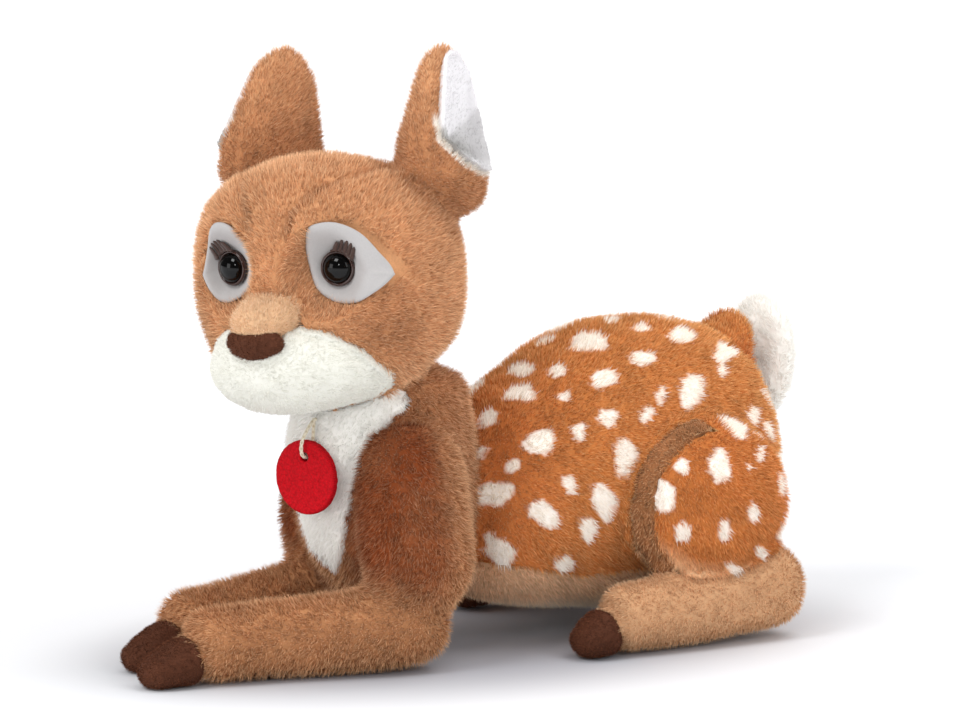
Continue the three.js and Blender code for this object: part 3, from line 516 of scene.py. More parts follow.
def normals_of(mesh: bpy.types.Mesh) -> np.ndarray:
    """Reads a mesh's corner normals.

    Args:
        mesh: The mesh.

    Returns:
        Directions, one a row.
    """
    values = np.empty(len(mesh.vertices) * 3, np.float32)
    mesh.vertices.foreach_get("normal", values)
    return values.reshape(-1, 3).astype(float)


def moved(places: np.ndarray, matrix: Matrix) -> np.ndarray:
    """Moves points, one a row, by a matrix."""
    values = np.array(matrix)
    return places @ values[:3, :3].T + values[:3, 3]


def move_corners(mesh: bpy.types.Mesh, places: np.ndarray) -> None:
    """Writes the mesh's corners."""
    mesh.vertices.foreach_set("co", places.astype(np.float32).ravel())
    mesh.update()


def triangles_of(mesh: bpy.types.Mesh) -> np.ndarray:
    """Reads a mesh's triangles.

    Args:
        mesh: The mesh.

    Returns:
        Corner numbers, three a row.
    """
    mesh.calc_loop_triangles()
    values = np.empty(len(mesh.loop_triangles) * 3, np.int32)
    mesh.loop_triangles.foreach_get("vertices", values)
    return values.reshape(-1, 3)


def write_values(mesh: bpy.types.Mesh, name: str, values: np.ndarray) -> None:
    """Stores one number or vector for each corner.

    Args:
        mesh: The mesh.
        name: The attribute's name.
        values: The numbers, or the vectors one a row.
    """
    wide = values.ndim == 2
    layer = mesh.attributes.new(name, "FLOAT_VECTOR" if wide else "FLOAT", "POINT")
    layer.data.foreach_set("vector" if wide else "value", values.astype(np.float32).ravel())


def merged_copy(name: str) -> bpy.types.Mesh:
    """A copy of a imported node's mesh in place, with its loose triangles merged.

    Args:
        name: The node's name.

    Returns:
        The new mesh.
    """
    source = node_object(name)
    solid = bmesh.new()
    solid.from_mesh(source.data)
    solid.transform(source.matrix_world)
    bmesh.ops.remove_doubles(solid, verts=solid.verts, dist=2e-6)
    mesh = bpy.data.meshes.new(name + "_copy")
    solid.to_mesh(mesh)
    solid.free()
    return mesh


def settled(piece: bpy.types.Object) -> bpy.types.Object:
    """Applies a piece's modifiers and leaves a plain mesh.

    Args:
        piece: The piece.

    Returns:
        The same piece.
    """
    bpy.context.view_layer.update()
    plain = bpy.data.meshes.new_from_object(piece.evaluated_get(bpy.context.evaluated_depsgraph_get()))
    piece.modifiers.clear()
    old = piece.data
    piece.data = plain
    bpy.data.meshes.remove(old)
    return piece


def softened(name: str, node: str, voxel: float, rounds: int) -> bpy.types.Object:
    """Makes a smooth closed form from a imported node.

    Args:
        name: The new piece's name.
        node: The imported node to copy.
        voxel: How fine the form is, in metres.
        rounds: How often it is smoothed.

    Returns:
        The new piece.
    """
    piece = put(name, merged_copy(node))
    remesh = piece.modifiers.new("form", "REMESH")
    remesh.mode = "VOXEL"
    remesh.voxel_size = voxel
    smooth = piece.modifiers.new("soften", "SMOOTH")
    smooth.factor = 0.5
    smooth.iterations = rounds
    settled(piece)
    piece.data.shade_smooth()
    return piece


def distances(places: np.ndarray, target: BVHTree) -> np.ndarray:
    """How far each place lies from a surface."""
    found = (target.find_nearest(Vector(place)) for place in places)
    return np.array([hit[3] if hit[3] is not None else 1.0 for hit in found])


def tree_of(mesh: bpy.types.Mesh) -> BVHTree:
    """A search tree of one mesh."""
    return BVHTree.FromPolygons([Vector(v) for v in corners_of(mesh)], triangles_of(mesh).tolist())


def surroundings(*left_out: str) -> BVHTree:
    """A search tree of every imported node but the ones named.

    Args:
        left_out: Node names that don't count.

    Returns:
        The search tree.
    """
    corners, faces, count = [], [], 0
    for name, item in frame["nodes"].items():
        if name in left_out:
            continue
        places = moved(corners_of(item.data), item.matrix_world)
        corners.append(places)
        faces.append(triangles_of(item.data) + count)
        count += len(places)
    return BVHTree.FromPolygons([Vector(v) for v in np.concatenate(corners)], np.concatenate(faces).tolist())


def nearest_ways(places: np.ndarray, target: BVHTree) -> tuple[np.ndarray, np.ndarray]:
    """The direction and distance from each place to a surface.

    Args:
        places: Points, one a row.
        target: The surface's search tree.

    Returns:
        Directions of length 1, and distances.
    """
    hits = np.array([target.find_nearest(Vector(place))[0] for place in places])
    way = hits - places
    distance = np.linalg.norm(way, axis=1)
    return way / np.maximum(distance, 1e-7)[:, None], distance


class Obstacles:
    """All the forms that a strand of pile can't pass through."""

    # A strand goes this share of the way to what it would meet
    FREE_SHARE = 0.92

    def __init__(self) -> None:
        """Starts with none."""
        self.corners: list[np.ndarray] = []
        self.faces: list[np.ndarray] = []
        self.count = 0
        self.tree: BVHTree | None = None

    def add(self, piece: bpy.types.Object) -> None:
        """Takes in one piece's surface.

        Args:
            piece: The piece.
        """
        places = corners_of(piece.data)
        self.corners.append(places)
        self.faces.append(triangles_of(piece.data) + self.count)
        self.count += len(places)

    def close(self) -> None:
        """Builds the search tree."""
        corners = np.concatenate(self.corners)
        self.tree = BVHTree.FromPolygons([Vector(v) for v in corners], np.concatenate(self.faces).tolist())

    def clear_lengths(self, starts: np.ndarray, ways: np.ndarray, lengths: np.ndarray) -> np.ndarray:
        """How long each strand can be before it meets a surface.

        Args:
            starts: Where the strands start.
            ways: Their directions.
            lengths: Their full lengths.

        Returns:
            The lengths that are free.
        """
        cast = self.tree.ray_cast
        free = lengths.copy()
        for k, (start, way, length) in enumerate(zip(starts, ways, lengths)):
            distance = cast(Vector(start), Vector(way), length)[3]
            if distance is not None:
                free[k] = distance * self.FREE_SHARE
        return free


OBSTACLES = Obstacles()


def nothing(places: np.ndarray) -> np.ndarray:
    """A field that is 0 everywhere."""
    return np.zeros(len(places))


def everything(places: np.ndarray) -> np.ndarray:
    """A field that is 1 everywhere."""
    return np.ones(len(places))


def constant(*vector: float) -> Field:
    """A field of one direction."""
    return lambda places: np.broadcast_to(np.array(vector, float), places.shape)


@dataclass
class PilePattern:
    """How the pile varies over a piece: where it lies to, and where it is pale, shaded, short or thin."""

    flow: Field = constant(0, 1, 0)
    pale: Field = nothing
    shade: Field = nothing
    length: Field = everything
    cover: Field = everything


class PileTree:
    """The geometry nodes that stand a strand on every root point."""

    # The most strands in one coat, the sides of a strand and the corners of all its faces
    MOST = 47000
    SIDES = 3
    FACE_CORNERS = 12

    def __init__(self) -> None:
        """Builds the tree."""
        tree = bpy.data.node_groups.new("pile_strands", "GeometryNodeTree")
        self.tree = tree
        for name, kind in (("Geometry", "NodeSocketGeometry"), ("Strand Sides", "NodeSocketInt"),
                           ("Twist Seed", "NodeSocketInt"), ("Finish", "NodeSocketMaterial")):
            socket = tree.interface.new_socket(name, in_out="INPUT", socket_type=kind)
            if name == "Strand Sides":
                socket.default_value = self.SIDES
        tree.interface.new_socket("Geometry", in_out="OUTPUT", socket_type="NodeSocketGeometry")
        self.inputs = {s.name: s.identifier for s in tree.interface.items_tree if s.in_out == "INPUT"}
        nodes = Nodes(tree)
        given = tree.nodes.new("NodeGroupInput").outputs
        spike = nodes.add("GeometryNodeMeshCone", fill_type="NGON", Vertices=given["Strand Sides"],
                          Side_Segments=1, Radius_Top=0.0, Radius_Bottom=0.5, Depth=1.0)
        place = tree.nodes.new("GeometryNodeInputPosition").outputs[0]
        height = nodes.add("ShaderNodeSeparateXYZ", Vector=place)
        marked = nodes.add("GeometryNodeStoreNamedAttribute", data_type="FLOAT", domain="POINT",
                           Geometry=spike.outputs["Mesh"], Name="along", Value=height.outputs["Z"])
        lie = self._attribute(nodes, "lie", "FLOAT_VECTOR")
        aligned = nodes.add("FunctionNodeAlignRotationToVector", axis="Z", Vector=lie)
        turn = nodes.add("FunctionNodeRandomValue", data_type="FLOAT")
        turn.inputs[2].default_value = 0.0
        turn.inputs[3].default_value = 2 * math.pi
        nodes.feed(given["Twist Seed"], turn.inputs["Seed"])
        twist = nodes.add("FunctionNodeAxisAngleToRotation", Axis=(0, 0, 1), Angle=turn.outputs[1])
        turned = nodes.add("FunctionNodeRotateRotation", rotation_space="LOCAL",
                           Rotation=aligned.outputs[0], Rotate_By=twist.outputs[0])
        girth = self._attribute(nodes, "girth", "FLOAT")
        length = self._attribute(nodes, "length", "FLOAT")
        scale = nodes.add("ShaderNodeCombineXYZ", X=girth, Y=girth, Z=length)
        strands = nodes.add("GeometryNodeInstanceOnPoints", Points=given["Geometry"],
                            Instance=marked.outputs[0], Rotation=turned.outputs[0], Scale=scale.outputs[0])
        real = nodes.add("GeometryNodeRealizeInstances", Geometry=strands.outputs[0])
        lit = nodes.add("GeometryNodeSetMeshNormal", mode="FREE", domain="POINT", Mesh=real.outputs[0])
        nodes.feed(self._attribute(nodes, "skin", "FLOAT_VECTOR"), lit.inputs["Custom Normal"])
        last = lit.outputs[0]
        for name in ("lie", "girth", "length", "skin"):
            last = nodes.add("GeometryNodeRemoveAttribute", Geometry=last, Name=name).outputs[0]
        dressed = nodes.add("GeometryNodeSetMaterial", Geometry=last, Material=given["Finish"])
        nodes.feed(dressed.outputs[0], tree.nodes.new("NodeGroupOutput").inputs[0])

    @staticmethod
    def _attribute(nodes: Nodes, name: str, kind: str) -> bpy.types.NodeSocket:
        """Reads a root point's named value."""
        return nodes.add("GeometryNodeInputNamedAttribute", data_type=kind, Name=name).outputs["Attribute"]

    def grow(self, name: str, roots: dict[str, np.ndarray], finish: PlushFinish,
             seed: int) -> bpy.types.Object:
        """Makes one coat of pile as a plain mesh.

        Args:
            name: The coat's name.
            roots: The root points' place and values, by attribute name.
            finish: The pile's finish.
            seed: Turns the strands at random.

        Returns:
            The coat.
        """
        mesh = bpy.data.meshes.new(name)
        places = roots["root"]
        mesh.vertices.add(len(places))
        mesh.vertices.foreach_set("co", places.astype(np.float32).ravel())
        for label, values in roots.items():
            write_values(mesh, label, values)
        coat = put(name, mesh)
        grown = coat.modifiers.new("pile", "NODES")
        grown.node_group = self.tree
        grown[self.inputs["Strand Sides"]] = self.SIDES
        grown[self.inputs["Twist Seed"]] = seed
        grown[self.inputs["Finish"]] = finish.material()
        settled(coat)
        self._lay_out(coat.data, len(places))
        return coat

    @staticmethod
    def _lay_out(mesh: bpy.types.Mesh, count: int) -> None:
        """Gives each strand a small square of its own in a map, so that its colours can be kept.

        Args:
            mesh: The coat's mesh.
            count: How many strands it has.

        Raises:
            RuntimeError: If a strand has other faces than a spike of three sides.
        """
        each = PileTree.FACE_CORNERS
        if len(mesh.loops) != each * count:
            raise RuntimeError("a strand has other faces than expected")
        index = np.empty(each * count, np.int32)
        mesh.loops.foreach_get("vertex_index", index)
        low = index[:each].min()
        first = (index[:each] - low).reshape(4, 3)
        along = np.empty(len(mesh.vertices), np.float32)
        mesh.attributes["along"].data.foreach_get("value", along)
        tip = int(np.argmax(along[low:low + 4]))
        feet = [v for v in range(4) if v != tip]
        local = np.zeros((4, 3, 2))
        for face, corners in enumerate(first):
            if tip not in corners:
                local[face] = [(0.45, 0.02), (0.55, 0.02), (0.5, 0.08)]
                continue
            missing = next(feet.index(v) for v in feet if v not in corners)
            pair = [v for v in corners if v != tip]
            for k, corner in enumerate(corners):
                across = (missing + (0.5 if corner == tip else float(pair.index(corner)))) / 3
                local[face, k] = (across, 1.0 if corner == tip else 0.1)
        wide = math.ceil(math.sqrt(count))
        cell = np.stack([np.arange(count) % wide, np.arange(count) // wide], 1)
        places = (cell[:, None, :] + 0.06 + 0.88 * local.reshape(1, each, 2)) / wide
        layer = mesh.uv_layers.new(name="OFBake")
        layer.uv.foreach_set("vector", places.astype(np.float32).ravel())


PILE = PileTree()
ROOT_DEPTH = 0.3 * MM


@dataclass
class PlushPart:
    """A sewn, stuffed piece of plush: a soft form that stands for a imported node, and its coat of pile."""

    node: str
    finish: PlushFinish
    body: str = "root"
    stuffing: str | None = None
    pattern: PilePattern = field(default_factory=PilePattern)
    voxel: float = 2.3 * MM
    rounds: int = 9
    seed: int = 1
    lumps: float = 0.5 * MM
    form: bpy.types.Object | None = None
    outer: np.ndarray | None = None
    passed_over: tuple[str, ...] = ()

    def build_form(self, sculpt: Callable[[np.ndarray, np.ndarray], np.ndarray] | None = None) -> None:
        """Makes the cloth's form, a pile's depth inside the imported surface.

        Args:
            sculpt: Takes the corners and normals and returns the corners moved, for folds and seams.
        """
        piece = softened(f"{self.node}_cloth", self.node, self.voxel, self.rounds)
        places, normals = corners_of(piece.data), normals_of(piece.data)
        outer = np.ones(len(places))
        if self.stuffing:
            inner = tree_of(merged_copy(self.stuffing))
            outer = smoothstep(1.2 * MM, 4.0 * MM, distances(places, inner))
        own = (self.node, self.stuffing or self.node, *self.passed_over)
        towards, gap = nearest_ways(places, surroundings(*own))
        facing = (normals * towards).sum(1)
        blocked = np.clip(facing, 0, 1) * (1 - smoothstep(2.5 * MM, 7 * MM, gap))
        free = normals - towards * blocked[:, None]
        swell = (lattice_noise(places, 16 * MM, self.seed) - 0.5) * 2 * self.lumps
        close = 1 - smoothstep(2.5 * MM, 5 * MM, gap)
        fill = np.maximum(gap - 0.1 * MM, 0) * smoothstep(0.1, 0.6, facing) * close
        sunk = (swell - self.finish.sink) * outer
        places = places + free * sunk[:, None] + towards * (fill * outer)[:, None]
        if sculpt:
            places = places + (sculpt(places, normals) - places) * outer[:, None]
        floor = 0.6 * MM
        places[:, 2] = np.maximum(places[:, 2], floor)
        move_corners(piece.data, places)
        piece.data.materials.clear()
        piece.data.materials.append(self.finish.material())
        count = len(places)
        write_values(piece.data, "along", np.full(count, 0.25))
        write_values(piece.data, "chance", np.full(count, 0.5))
        write_values(piece.data, "root", places)
        write_values(piece.data, "pale", self.pattern.pale(places))
        write_values(piece.data, "shade", self.pattern.shade(places))
        self.form, self.outer = piece, outer
        OBSTACLES.add(piece)
        dress(piece, self.body, self.finish.slot, self.node)

    def grow_pile(self) -> None:
        """Stands strands all over the outside of the form."""
        mesh = self.form.data
        random = np.random.default_rng(self.seed * 7919 + 11)
        corners, normals, faces = corners_of(mesh), normals_of(mesh), triangles_of(mesh)
        a, b, c = (corners[faces[:, k]] for k in range(3))
        area = 0.5 * np.linalg.norm(np.cross(b - a, c - a), axis=1)
        open_face = self.outer[faces].min(axis=1) > 0.6
        weight = area * open_face
        count = int(weight.sum() * 1e6 * self.finish.density)
        if count < 20:
            return
        picked = random.choice(len(faces), count, p=weight / weight.sum())
        u, v = random.random(count), random.random(count)
        flip = u + v > 1
        u[flip], v[flip] = 1 - u[flip], 1 - v[flip]
        shares = np.stack([1 - u - v, u, v], 1)[:, :, None]
        roots = (corners[faces[picked]] * shares).sum(1)
        skin = unit((normals[faces[picked]] * shares).sum(1))
        covered = random.random(count) < self.pattern.cover(roots)
        roots, skin, count = roots[covered], skin[covered], int(covered.sum())
        flow = self.pattern.flow(roots)
        flow = unit(flow - skin * (flow * skin).sum(1, keepdims=True))
        swirl = np.stack([lattice_noise(roots, 11 * MM, self.seed + k) - 0.5 for k in range(3)], 1)
        tuft = np.stack([lattice_noise(roots, 2.6 * MM, self.seed + 10 + k) - 0.5 for k in range(3)], 1)
        stray = swirl * 0.7 + tuft * 0.8 + random.normal(0, 0.45, (count, 3))
        lie = unit(flow + stray * self.finish.unruly)
        lie = unit(lie - skin * (lie * skin).sum(1, keepdims=True))
        rise = np.clip(self.finish.rise + random.normal(0, 0.2, count), 0.3, 1.5)[:, None]
        way = unit(lie * np.cos(rise) + skin * np.sin(rise))
        length = self.finish.pile_length * (0.72 + 0.5 * random.random(count)) * self.pattern.length(roots)
        low = 0.3 * MM
        drop = roots[:, 2] + way[:, 2] * length < low
        way[drop, 2] = (low - roots[drop, 2]) / length[drop]
        way = unit(way)
        length = OBSTACLES.clear_lengths(roots + skin * 0.5 * MM, way, length)
        keep = length > 0.15 * self.finish.pile_length
        roots, skin, way, length = roots[keep], skin[keep], way[keep], length[keep]
        count = len(roots)
        if not count:
            return
        order = np.argsort(roots[:, int(np.argmax(np.ptp(roots, axis=0)))], kind="stable")
        values = {
            "root": roots - skin * ROOT_DEPTH,
            "lie": way,
            "skin": unit(skin + way * 0.2 + random.normal(0, 0.12, (count, 3))),
            "length": length + ROOT_DEPTH,
            "girth": self.finish.pile_width * (0.8 + 0.5 * random.random(count)),
            "chance": random.random(count),
            "pale": self.pattern.pale(roots),
            "shade": self.pattern.shade(roots),
        }
        for number, part in enumerate(np.array_split(order, math.ceil(count / PILE.MOST)), 1):
            coat = PILE.grow(f"{self.node}_pile_{number}", {k: v[part] for k, v in values.items()},
                             self.finish, self.seed + number)
            dress(coat, self.body, self.finish.slot)
        log.info("%s: %d strands", self.node, count)


def dress(piece: bpy.types.Object, body: str, slot: str, *nodes: str) -> bpy.types.Object:
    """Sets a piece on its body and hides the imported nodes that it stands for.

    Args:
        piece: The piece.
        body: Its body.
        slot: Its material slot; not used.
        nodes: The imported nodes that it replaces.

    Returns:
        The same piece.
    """
    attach(piece, body)
    if nodes:
        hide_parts(*nodes)
    return piece


def give(piece: bpy.types.Object, finish: GrainFinish) -> bpy.types.Object:
    """Gives a piece one finish.

    Args:
        piece: The piece.
        finish: The finish.

    Returns:
        The same piece.
    """
    piece.data.materials.clear()
    piece.data.materials.append(finish.material())
    return piece


def mesh_piece(name: str, corners: Iterable, faces: Iterable) -> bpy.types.Object:
    """Makes a smooth-shaded closed piece from corners and faces, with its faces turned outwards.

    Args:
        name: The piece's name.
        corners: Its corners.
        faces: Its faces, as corner numbers.

    Returns:
        The piece.
    """
    mesh = bpy.data.meshes.new(name)
    mesh.from_pydata([tuple(c) for c in corners], [], [tuple(f) for f in faces])
    solid = bmesh.new()
    solid.from_mesh(mesh)
    bmesh.ops.remove_doubles(solid, verts=solid.verts, dist=1e-6)
    bmesh.ops.recalc_face_normals(solid, faces=solid.faces)
    solid.to_mesh(mesh)
    solid.free()
    mesh.shade_smooth()
    return put(name, mesh)


def tube_faces(start: int, stops: int, sides: int, capped: bool = True) -> list[tuple[int, ...]]:
    """Joins rings of corners that follow one another into a tube.

    Args:
        start: The first ring's first corner.
        stops: How many rings follow the first.
        sides: How many corners a ring has.
        capped: Whether both ends are closed.

    Returns:
        The tube's faces.
    """
    faces = []
    for row in range(stops):
        low, high = start + row * sides, start + (row + 1) * sides
        for k in range(sides):
            n = (k + 1) % sides
            faces.append((low + k, low + n, high + n, high + k))
    if capped:
        last = start + stops * sides
        faces.append(tuple(range(start, start + sides))[::-1])
        faces.append(tuple(range(last, last + sides)))
    return faces


def cubic(first: np.ndarray, second: np.ndarray, way: np.ndarray, next_way: np.ndarray,
          share: np.ndarray) -> np.ndarray:
    """Places on the smooth curves that run between pairs of points.

    Args:
        first: Where each curve starts.
        second: Where it ends.
        way: Its direction at the start.
        next_way: Its direction at the end.
        share: How far along it each place lies, from 0 to 1.

    Returns:
        The places.
    """
    return ((2 * share**3 - 3 * share**2 + 1) * first + (share**3 - 2 * share**2 + share) * way
            + (-2 * share**3 + 3 * share**2) * second + (share**3 - share**2) * next_way)


def lathe(name: str, profile: list[tuple[float, float]], place: Matrix, sides: int = 48) -> bpy.types.Object:
    """Turns a profile of radius and height about the place's own Z axis into a closed piece.

    Args:
        name: The piece's name.
        profile: Radius and height, from end to end.
        place: Its own frame.
        sides: How many sides it has.

    Returns:
        The piece.
    """
    corners = []
    for radius, height in profile:
        for k in range(sides):
            turn = 2 * math.pi * k / sides
            corners.append(place @ Vector((radius * math.cos(turn), radius * math.sin(turn), height)))
    return mesh_piece(name, corners, tube_faces(0, len(profile) - 1, sides, capped=False))


@dataclass
class Head:
    """The turned head: skull, jaw, bridge pad, nose, ears, and eyes with felt patches and lashes."""

    centre: tuple[float, float, float] = (MIDDLE_X, SHIFT_Y - 68.6 * MM, 160.5 * MM)
    turn: float = 27.0
    roll: float = 4.0
    eye_spread: float = 25.0 * MM
    eye_depth: float = 32.92 * MM
    eye_height: float = 7.02 * MM
    eye_yaw: float = 10.0
    eye_radius: float = 7.5 * MM
    felt_inset: float = 0.7 * MM
    felt_thickness: float = 1.0 * MM
    almond_points: tuple[tuple[float, float], ...] = (
        (50.6, 4.6), (46.0, 12.0), (38.5, 21.6), (29.0, 26.4), (19.0, 24.8), (14.4, 17.6),
        (13.6, 9.0), (16.2, -0.8), (24.0, -6.2), (35.0, -6.4), (44.4, -1.6), (50.6, 4.6))
    parts: list[PlushPart] = field(default_factory=list)

    @property
    def place(self) -> Matrix:
        """The head's own frame: X to its left, -Y out of the face, Z up."""
        return (Matrix.Translation(self.centre) @ Matrix.Rotation(math.radians(self.turn), 4, "Z")
                @ Matrix.Rotation(math.radians(-self.roll), 4, "Y"))

    def local(self, places: np.ndarray) -> np.ndarray:
        """Turns points of the toy's frame into the head's own."""
        return moved(places, self.place.inverted())

    def outward(self, vectors: np.ndarray) -> np.ndarray:
        """Turns directions of the head's own frame into the toy's."""
        return vectors @ np.array(self.place)[:3, :3].T

    def eye_place(self, side: Side) -> Matrix:
        """An eye's own frame, with Z out of the face.

        Args:
            side: Which eye.

        Returns:
            The frame.
        """
        middle = Matrix.Translation((side.value * self.eye_spread, -self.eye_depth, self.eye_height))
        return (self.place @ middle @ Matrix.Rotation(math.radians(side.value * self.eye_yaw), 4, "Z")
                @ Matrix.Rotation(math.radians(90), 4, "X"))

    def skull_flow(self, places: np.ndarray) -> np.ndarray:
        """The pile runs back from the nose over the brow and the cheeks.

        Args:
            places: Points, one a row, in metres.

        Returns:
            One direction for each place.
        """
        away = self.local(places) - np.array([0, -62, -26]) * MM
        away[:, 2] += 10 * MM
        return self.outward(unit(away))

    def ear_shadow(self, places: np.ndarray) -> np.ndarray:
        """Painted shade: the pile is darker round the ears' roots, on the cheeks and in the brow's creases.

        Args:
            places: Points, one a row, in metres.

        Returns:
            One value for each place.
        """
        q = self.local(places)
        dark = np.zeros(len(q))
        for side in Side:
            root = np.array([side.value * 43, 20.5, 36]) * MM
            from_root = np.linalg.norm(q - root, axis=1)
            dark = np.maximum(dark, 0.75 * (1 - smoothstep(20 * MM, 34 * MM, from_root)))
            cheek = np.array([side.value * 46, -30, -18]) * MM
            from_cheek = np.linalg.norm(q - cheek, axis=1)
            dark = np.maximum(dark, 0.5 * (1 - smoothstep(6 * MM, 28 * MM, from_cheek)))
        return np.maximum(dark, 0.5 * self.crease(places))

    def crease(self, places: np.ndarray) -> np.ndarray:
        """How near each place is to the short sewn creases above the inner eye corners.

        Args:
            places: Points, one a row, in metres.

        Returns:
            1 in a crease and 0 away from it.
        """
        q = self.local(places)
        near = np.zeros(len(q))
        for side in Side:
            line = np.array([(9, 22), (11, 31), (18, 39), (28, 43), (35, 45)]) * MM
            line[:, 0] *= side.value
            for (x0, z0), (x1, z1) in zip(line[:-1], line[1:]):
                span = np.array([x1 - x0, z1 - z0])
                share = np.clip(((q[:, 0] - x0) * span[0] + (q[:, 2] - z0) * span[1]) / (span @ span), 0, 1)
                gap = np.hypot(q[:, 0] - x0 - share * span[0], q[:, 2] - z0 - share * span[1])
                near = np.maximum(near, np.exp(-((gap / (1.6 * MM)) ** 2)) * (q[:, 1] < 0))
        return near

    def sculpt_skull(self, places: np.ndarray, normals: np.ndarray) -> np.ndarray:
        """Pulls in the creases of the brow and makes room under the felt."""
        depth = self.crease(places) * 3.2 * MM + self.inside_felt(places) * 1.2 * MM
        return places - normals * depth[:, None]

    def build_forms(self) -> None:
        """Makes the soft forms of the head."""
        eye_pieces = ("eye_patch", "eye", "eye_washer", "eyelashes")
        skull = PlushPart("head_skin", TAN, stuffing="head_stuffing", seed=3, voxel=2.2 * MM, rounds=8,
                          passed_over=tuple(f"{part}_{side.word}" for side in Side for part in eye_pieces),
                          pattern=PilePattern(
                              self.skull_flow, shade=self.ear_shadow,
                              cover=lambda p: (~self.inside_felt(p, -0.4 * MM)).astype(float)))
        skull.build_form(self.sculpt_skull)
        jaw = PlushPart("muzzle", JAW, seed=5, voxel=1.6 * MM, rounds=10, lumps=0.3 * MM,
                        pattern=PilePattern(self.skull_flow))
        jaw.build_form()
        bridge = PlushPart("nose_bridge", BRIDGE, seed=7, voxel=1.0 * MM, rounds=12, lumps=0.2 * MM,
                           pattern=PilePattern(self.skull_flow))
        bridge.build_form()
        nose = PlushPart("nose", DARK, seed=9, voxel=0.8 * MM, rounds=10, lumps=0.1 * MM,
                         pattern=PilePattern(self.skull_flow))
        nose.build_form()
        self.parts += [skull, jaw, bridge, nose]
        for side in Side:
            self.build_eye(side)
            self.parts += self.build_ear(side)

    def build_eye(self, side: Side) -> None:
        """Makes an eye, its rim, its felt patch, its lashes and its washer.

        Args:
            side: Which eye.
        """
        word = side.word
        patch = give(self.felt_patch(side), FELT)
        OBSTACLES.add(dress(patch, "root", FELT.slot, f"eye_patch_{word}"))
        place, r = self.eye_place(side), self.eye_radius
        bends = np.linspace(0, math.pi / 2, 14)
        arc = [(r * 0.84 * math.cos(t), 1.2 * MM + r * 0.62 * math.sin(t)) for t in bends]
        shank = [(0, -11.4 * MM), (2 * MM, -11.4 * MM), (2 * MM, 0), (r * 0.8, 0)]
        dome = give(lathe(f"eye_dome_{word}", shank + arc[:-1] + [(0, arc[-1][1])], place), EYE_BLACK)
        OBSTACLES.add(dress(dome, "root", EYE_BLACK.slot, f"eye_{word}"))
        turns = np.linspace(0, 2 * math.pi, 19)[:-1]
        ring = [(r * 0.885 + 0.85 * MM * math.cos(t), 1.3 * MM + 1.5 * MM * math.sin(t)) for t in turns]
        rim = give(lathe(f"eye_rim_{word}", ring + ring[:1], place), EYE_RIM)
        dress(rim, "root", EYE_RIM.slot)
        self.build_lashes(side, place)
        back = give(softened(f"lock_washer_{word}", f"eye_washer_{word}", 0.4 * MM, 2), WASHER)
        dress(back, "root", WASHER.slot, f"eye_washer_{word}")

    def almond(self, side: Side, count: int) -> np.ndarray:
        """The felt's outline in the head's own X and Z, a smooth curve with one sharp outer corner.

        Args:
            side: Which eye.
            count: How many points.

        Returns:
            The points, one a row.
        """
        outer = 1.0 if side is Side.LEFT else 0.52
        middle = 25.0
        points = np.array([(middle + (x - middle) * (outer if x > middle else 1.0), z)
                           for x, z in self.almond_points])
        ways = np.gradient(points, axis=0)
        share = np.linspace(0, len(points) - 1, count, endpoint=False)
        k = share.astype(int)
        line = cubic(points[k], points[k + 1], ways[k], ways[k + 1], (share - k)[:, None]) * MM
        line[:, 0] *= side.value
        return line

    def inside_felt(self, places: np.ndarray, grow: float = 0.0) -> np.ndarray:
        """Finds the places in front of the head that either felt covers.

        Args:
            places: Points, one a row, in metres.
            grow: How much larger the felt counts.

        Returns:
            True or false for each place.
        """
        q = self.local(places)
        inside = np.zeros(len(q), bool)
        for side in Side:
            line = self.almond(side, 90)
            centre = line.mean(axis=0)
            line = line + unit(line - centre) * grow
            x, z = q[:, 0], q[:, 2]
            crossed = np.zeros(len(q), bool)
            for (x0, z0), (x1, z1) in zip(line, np.roll(line, -1, axis=0)):
                if z0 != z1:
                    crossed ^= ((z0 > z) != (z1 > z)) & (x < (x1 - x0) * (z - z0) / (z1 - z0) + x0)
            inside |= crossed & (q[:, 1] < 0)
        return inside

    def felt_patch(self, side: Side) -> bpy.types.Object:
        """Lays an almond of felt over the face, with a hole for the eye's shank.

        Args:
            side: Which eye.

        Returns:
            The felt.
        """
        spokes, rings = 96, 16
        outline = self.almond(side, spokes)
        centre = np.array([side.value * self.eye_spread, self.eye_height])
        inner = centre + unit(outline - centre) * 2.6 * MM
        shares = np.linspace(0, 1, rings)[:, None, None]
        flat = inner * (1 - shares) + outline * shares
        target = BVHTree.FromPolygons(*self.face_surface())
        place = np.array(self.place)
        way = place[:3, 1]
        depth = np.full((rings, spokes), np.nan)
        for row in range(3, rings):
            for k in range(spokes):
                start = place[:3, :3] @ np.array([flat[row, k, 0], -95 * MM, flat[row, k, 1]]) + place[:3, 3]
                gap = target.ray_cast(Vector(start), Vector(way), 95 * MM)[3]
                if gap is not None:
                    depth[row, k] = gap - 95 * MM
        known = np.isfinite(depth)
        depth[~known] = np.nanmean(depth[3:6])
        for _ in range(60):
            near = (np.roll(depth, 1, 1) + np.roll(depth, -1, 1) + np.vstack([depth[:1], depth[:-1]])
                    + np.vstack([depth[1:], depth[-1:]])) / 4
            depth = np.where(known, depth * 0.75 + near * 0.25, near)
        front = np.stack([flat[..., 0], depth, flat[..., 1]], 2)
        normal = unit(np.cross(np.gradient(front, axis=0), np.roll(front, -1, 1) - np.roll(front, 1, 1)))
        normal *= np.sign(-normal[..., 1:2])
        tucked = np.clip((np.arange(rings) - rings + 2.5) / 1.5, 0, 1)[:, None, None]
        sunk = self.felt_inset + 0.35 * MM * tucked
        layers = (front - normal * sunk, front - normal * (self.felt_inset + self.felt_thickness))
        corners = moved(np.concatenate([layer.reshape(-1, 3) for layer in layers]), self.place)
        size, faces = rings * spokes, []
        for row in range(rings - 1):
            for k in range(spokes):
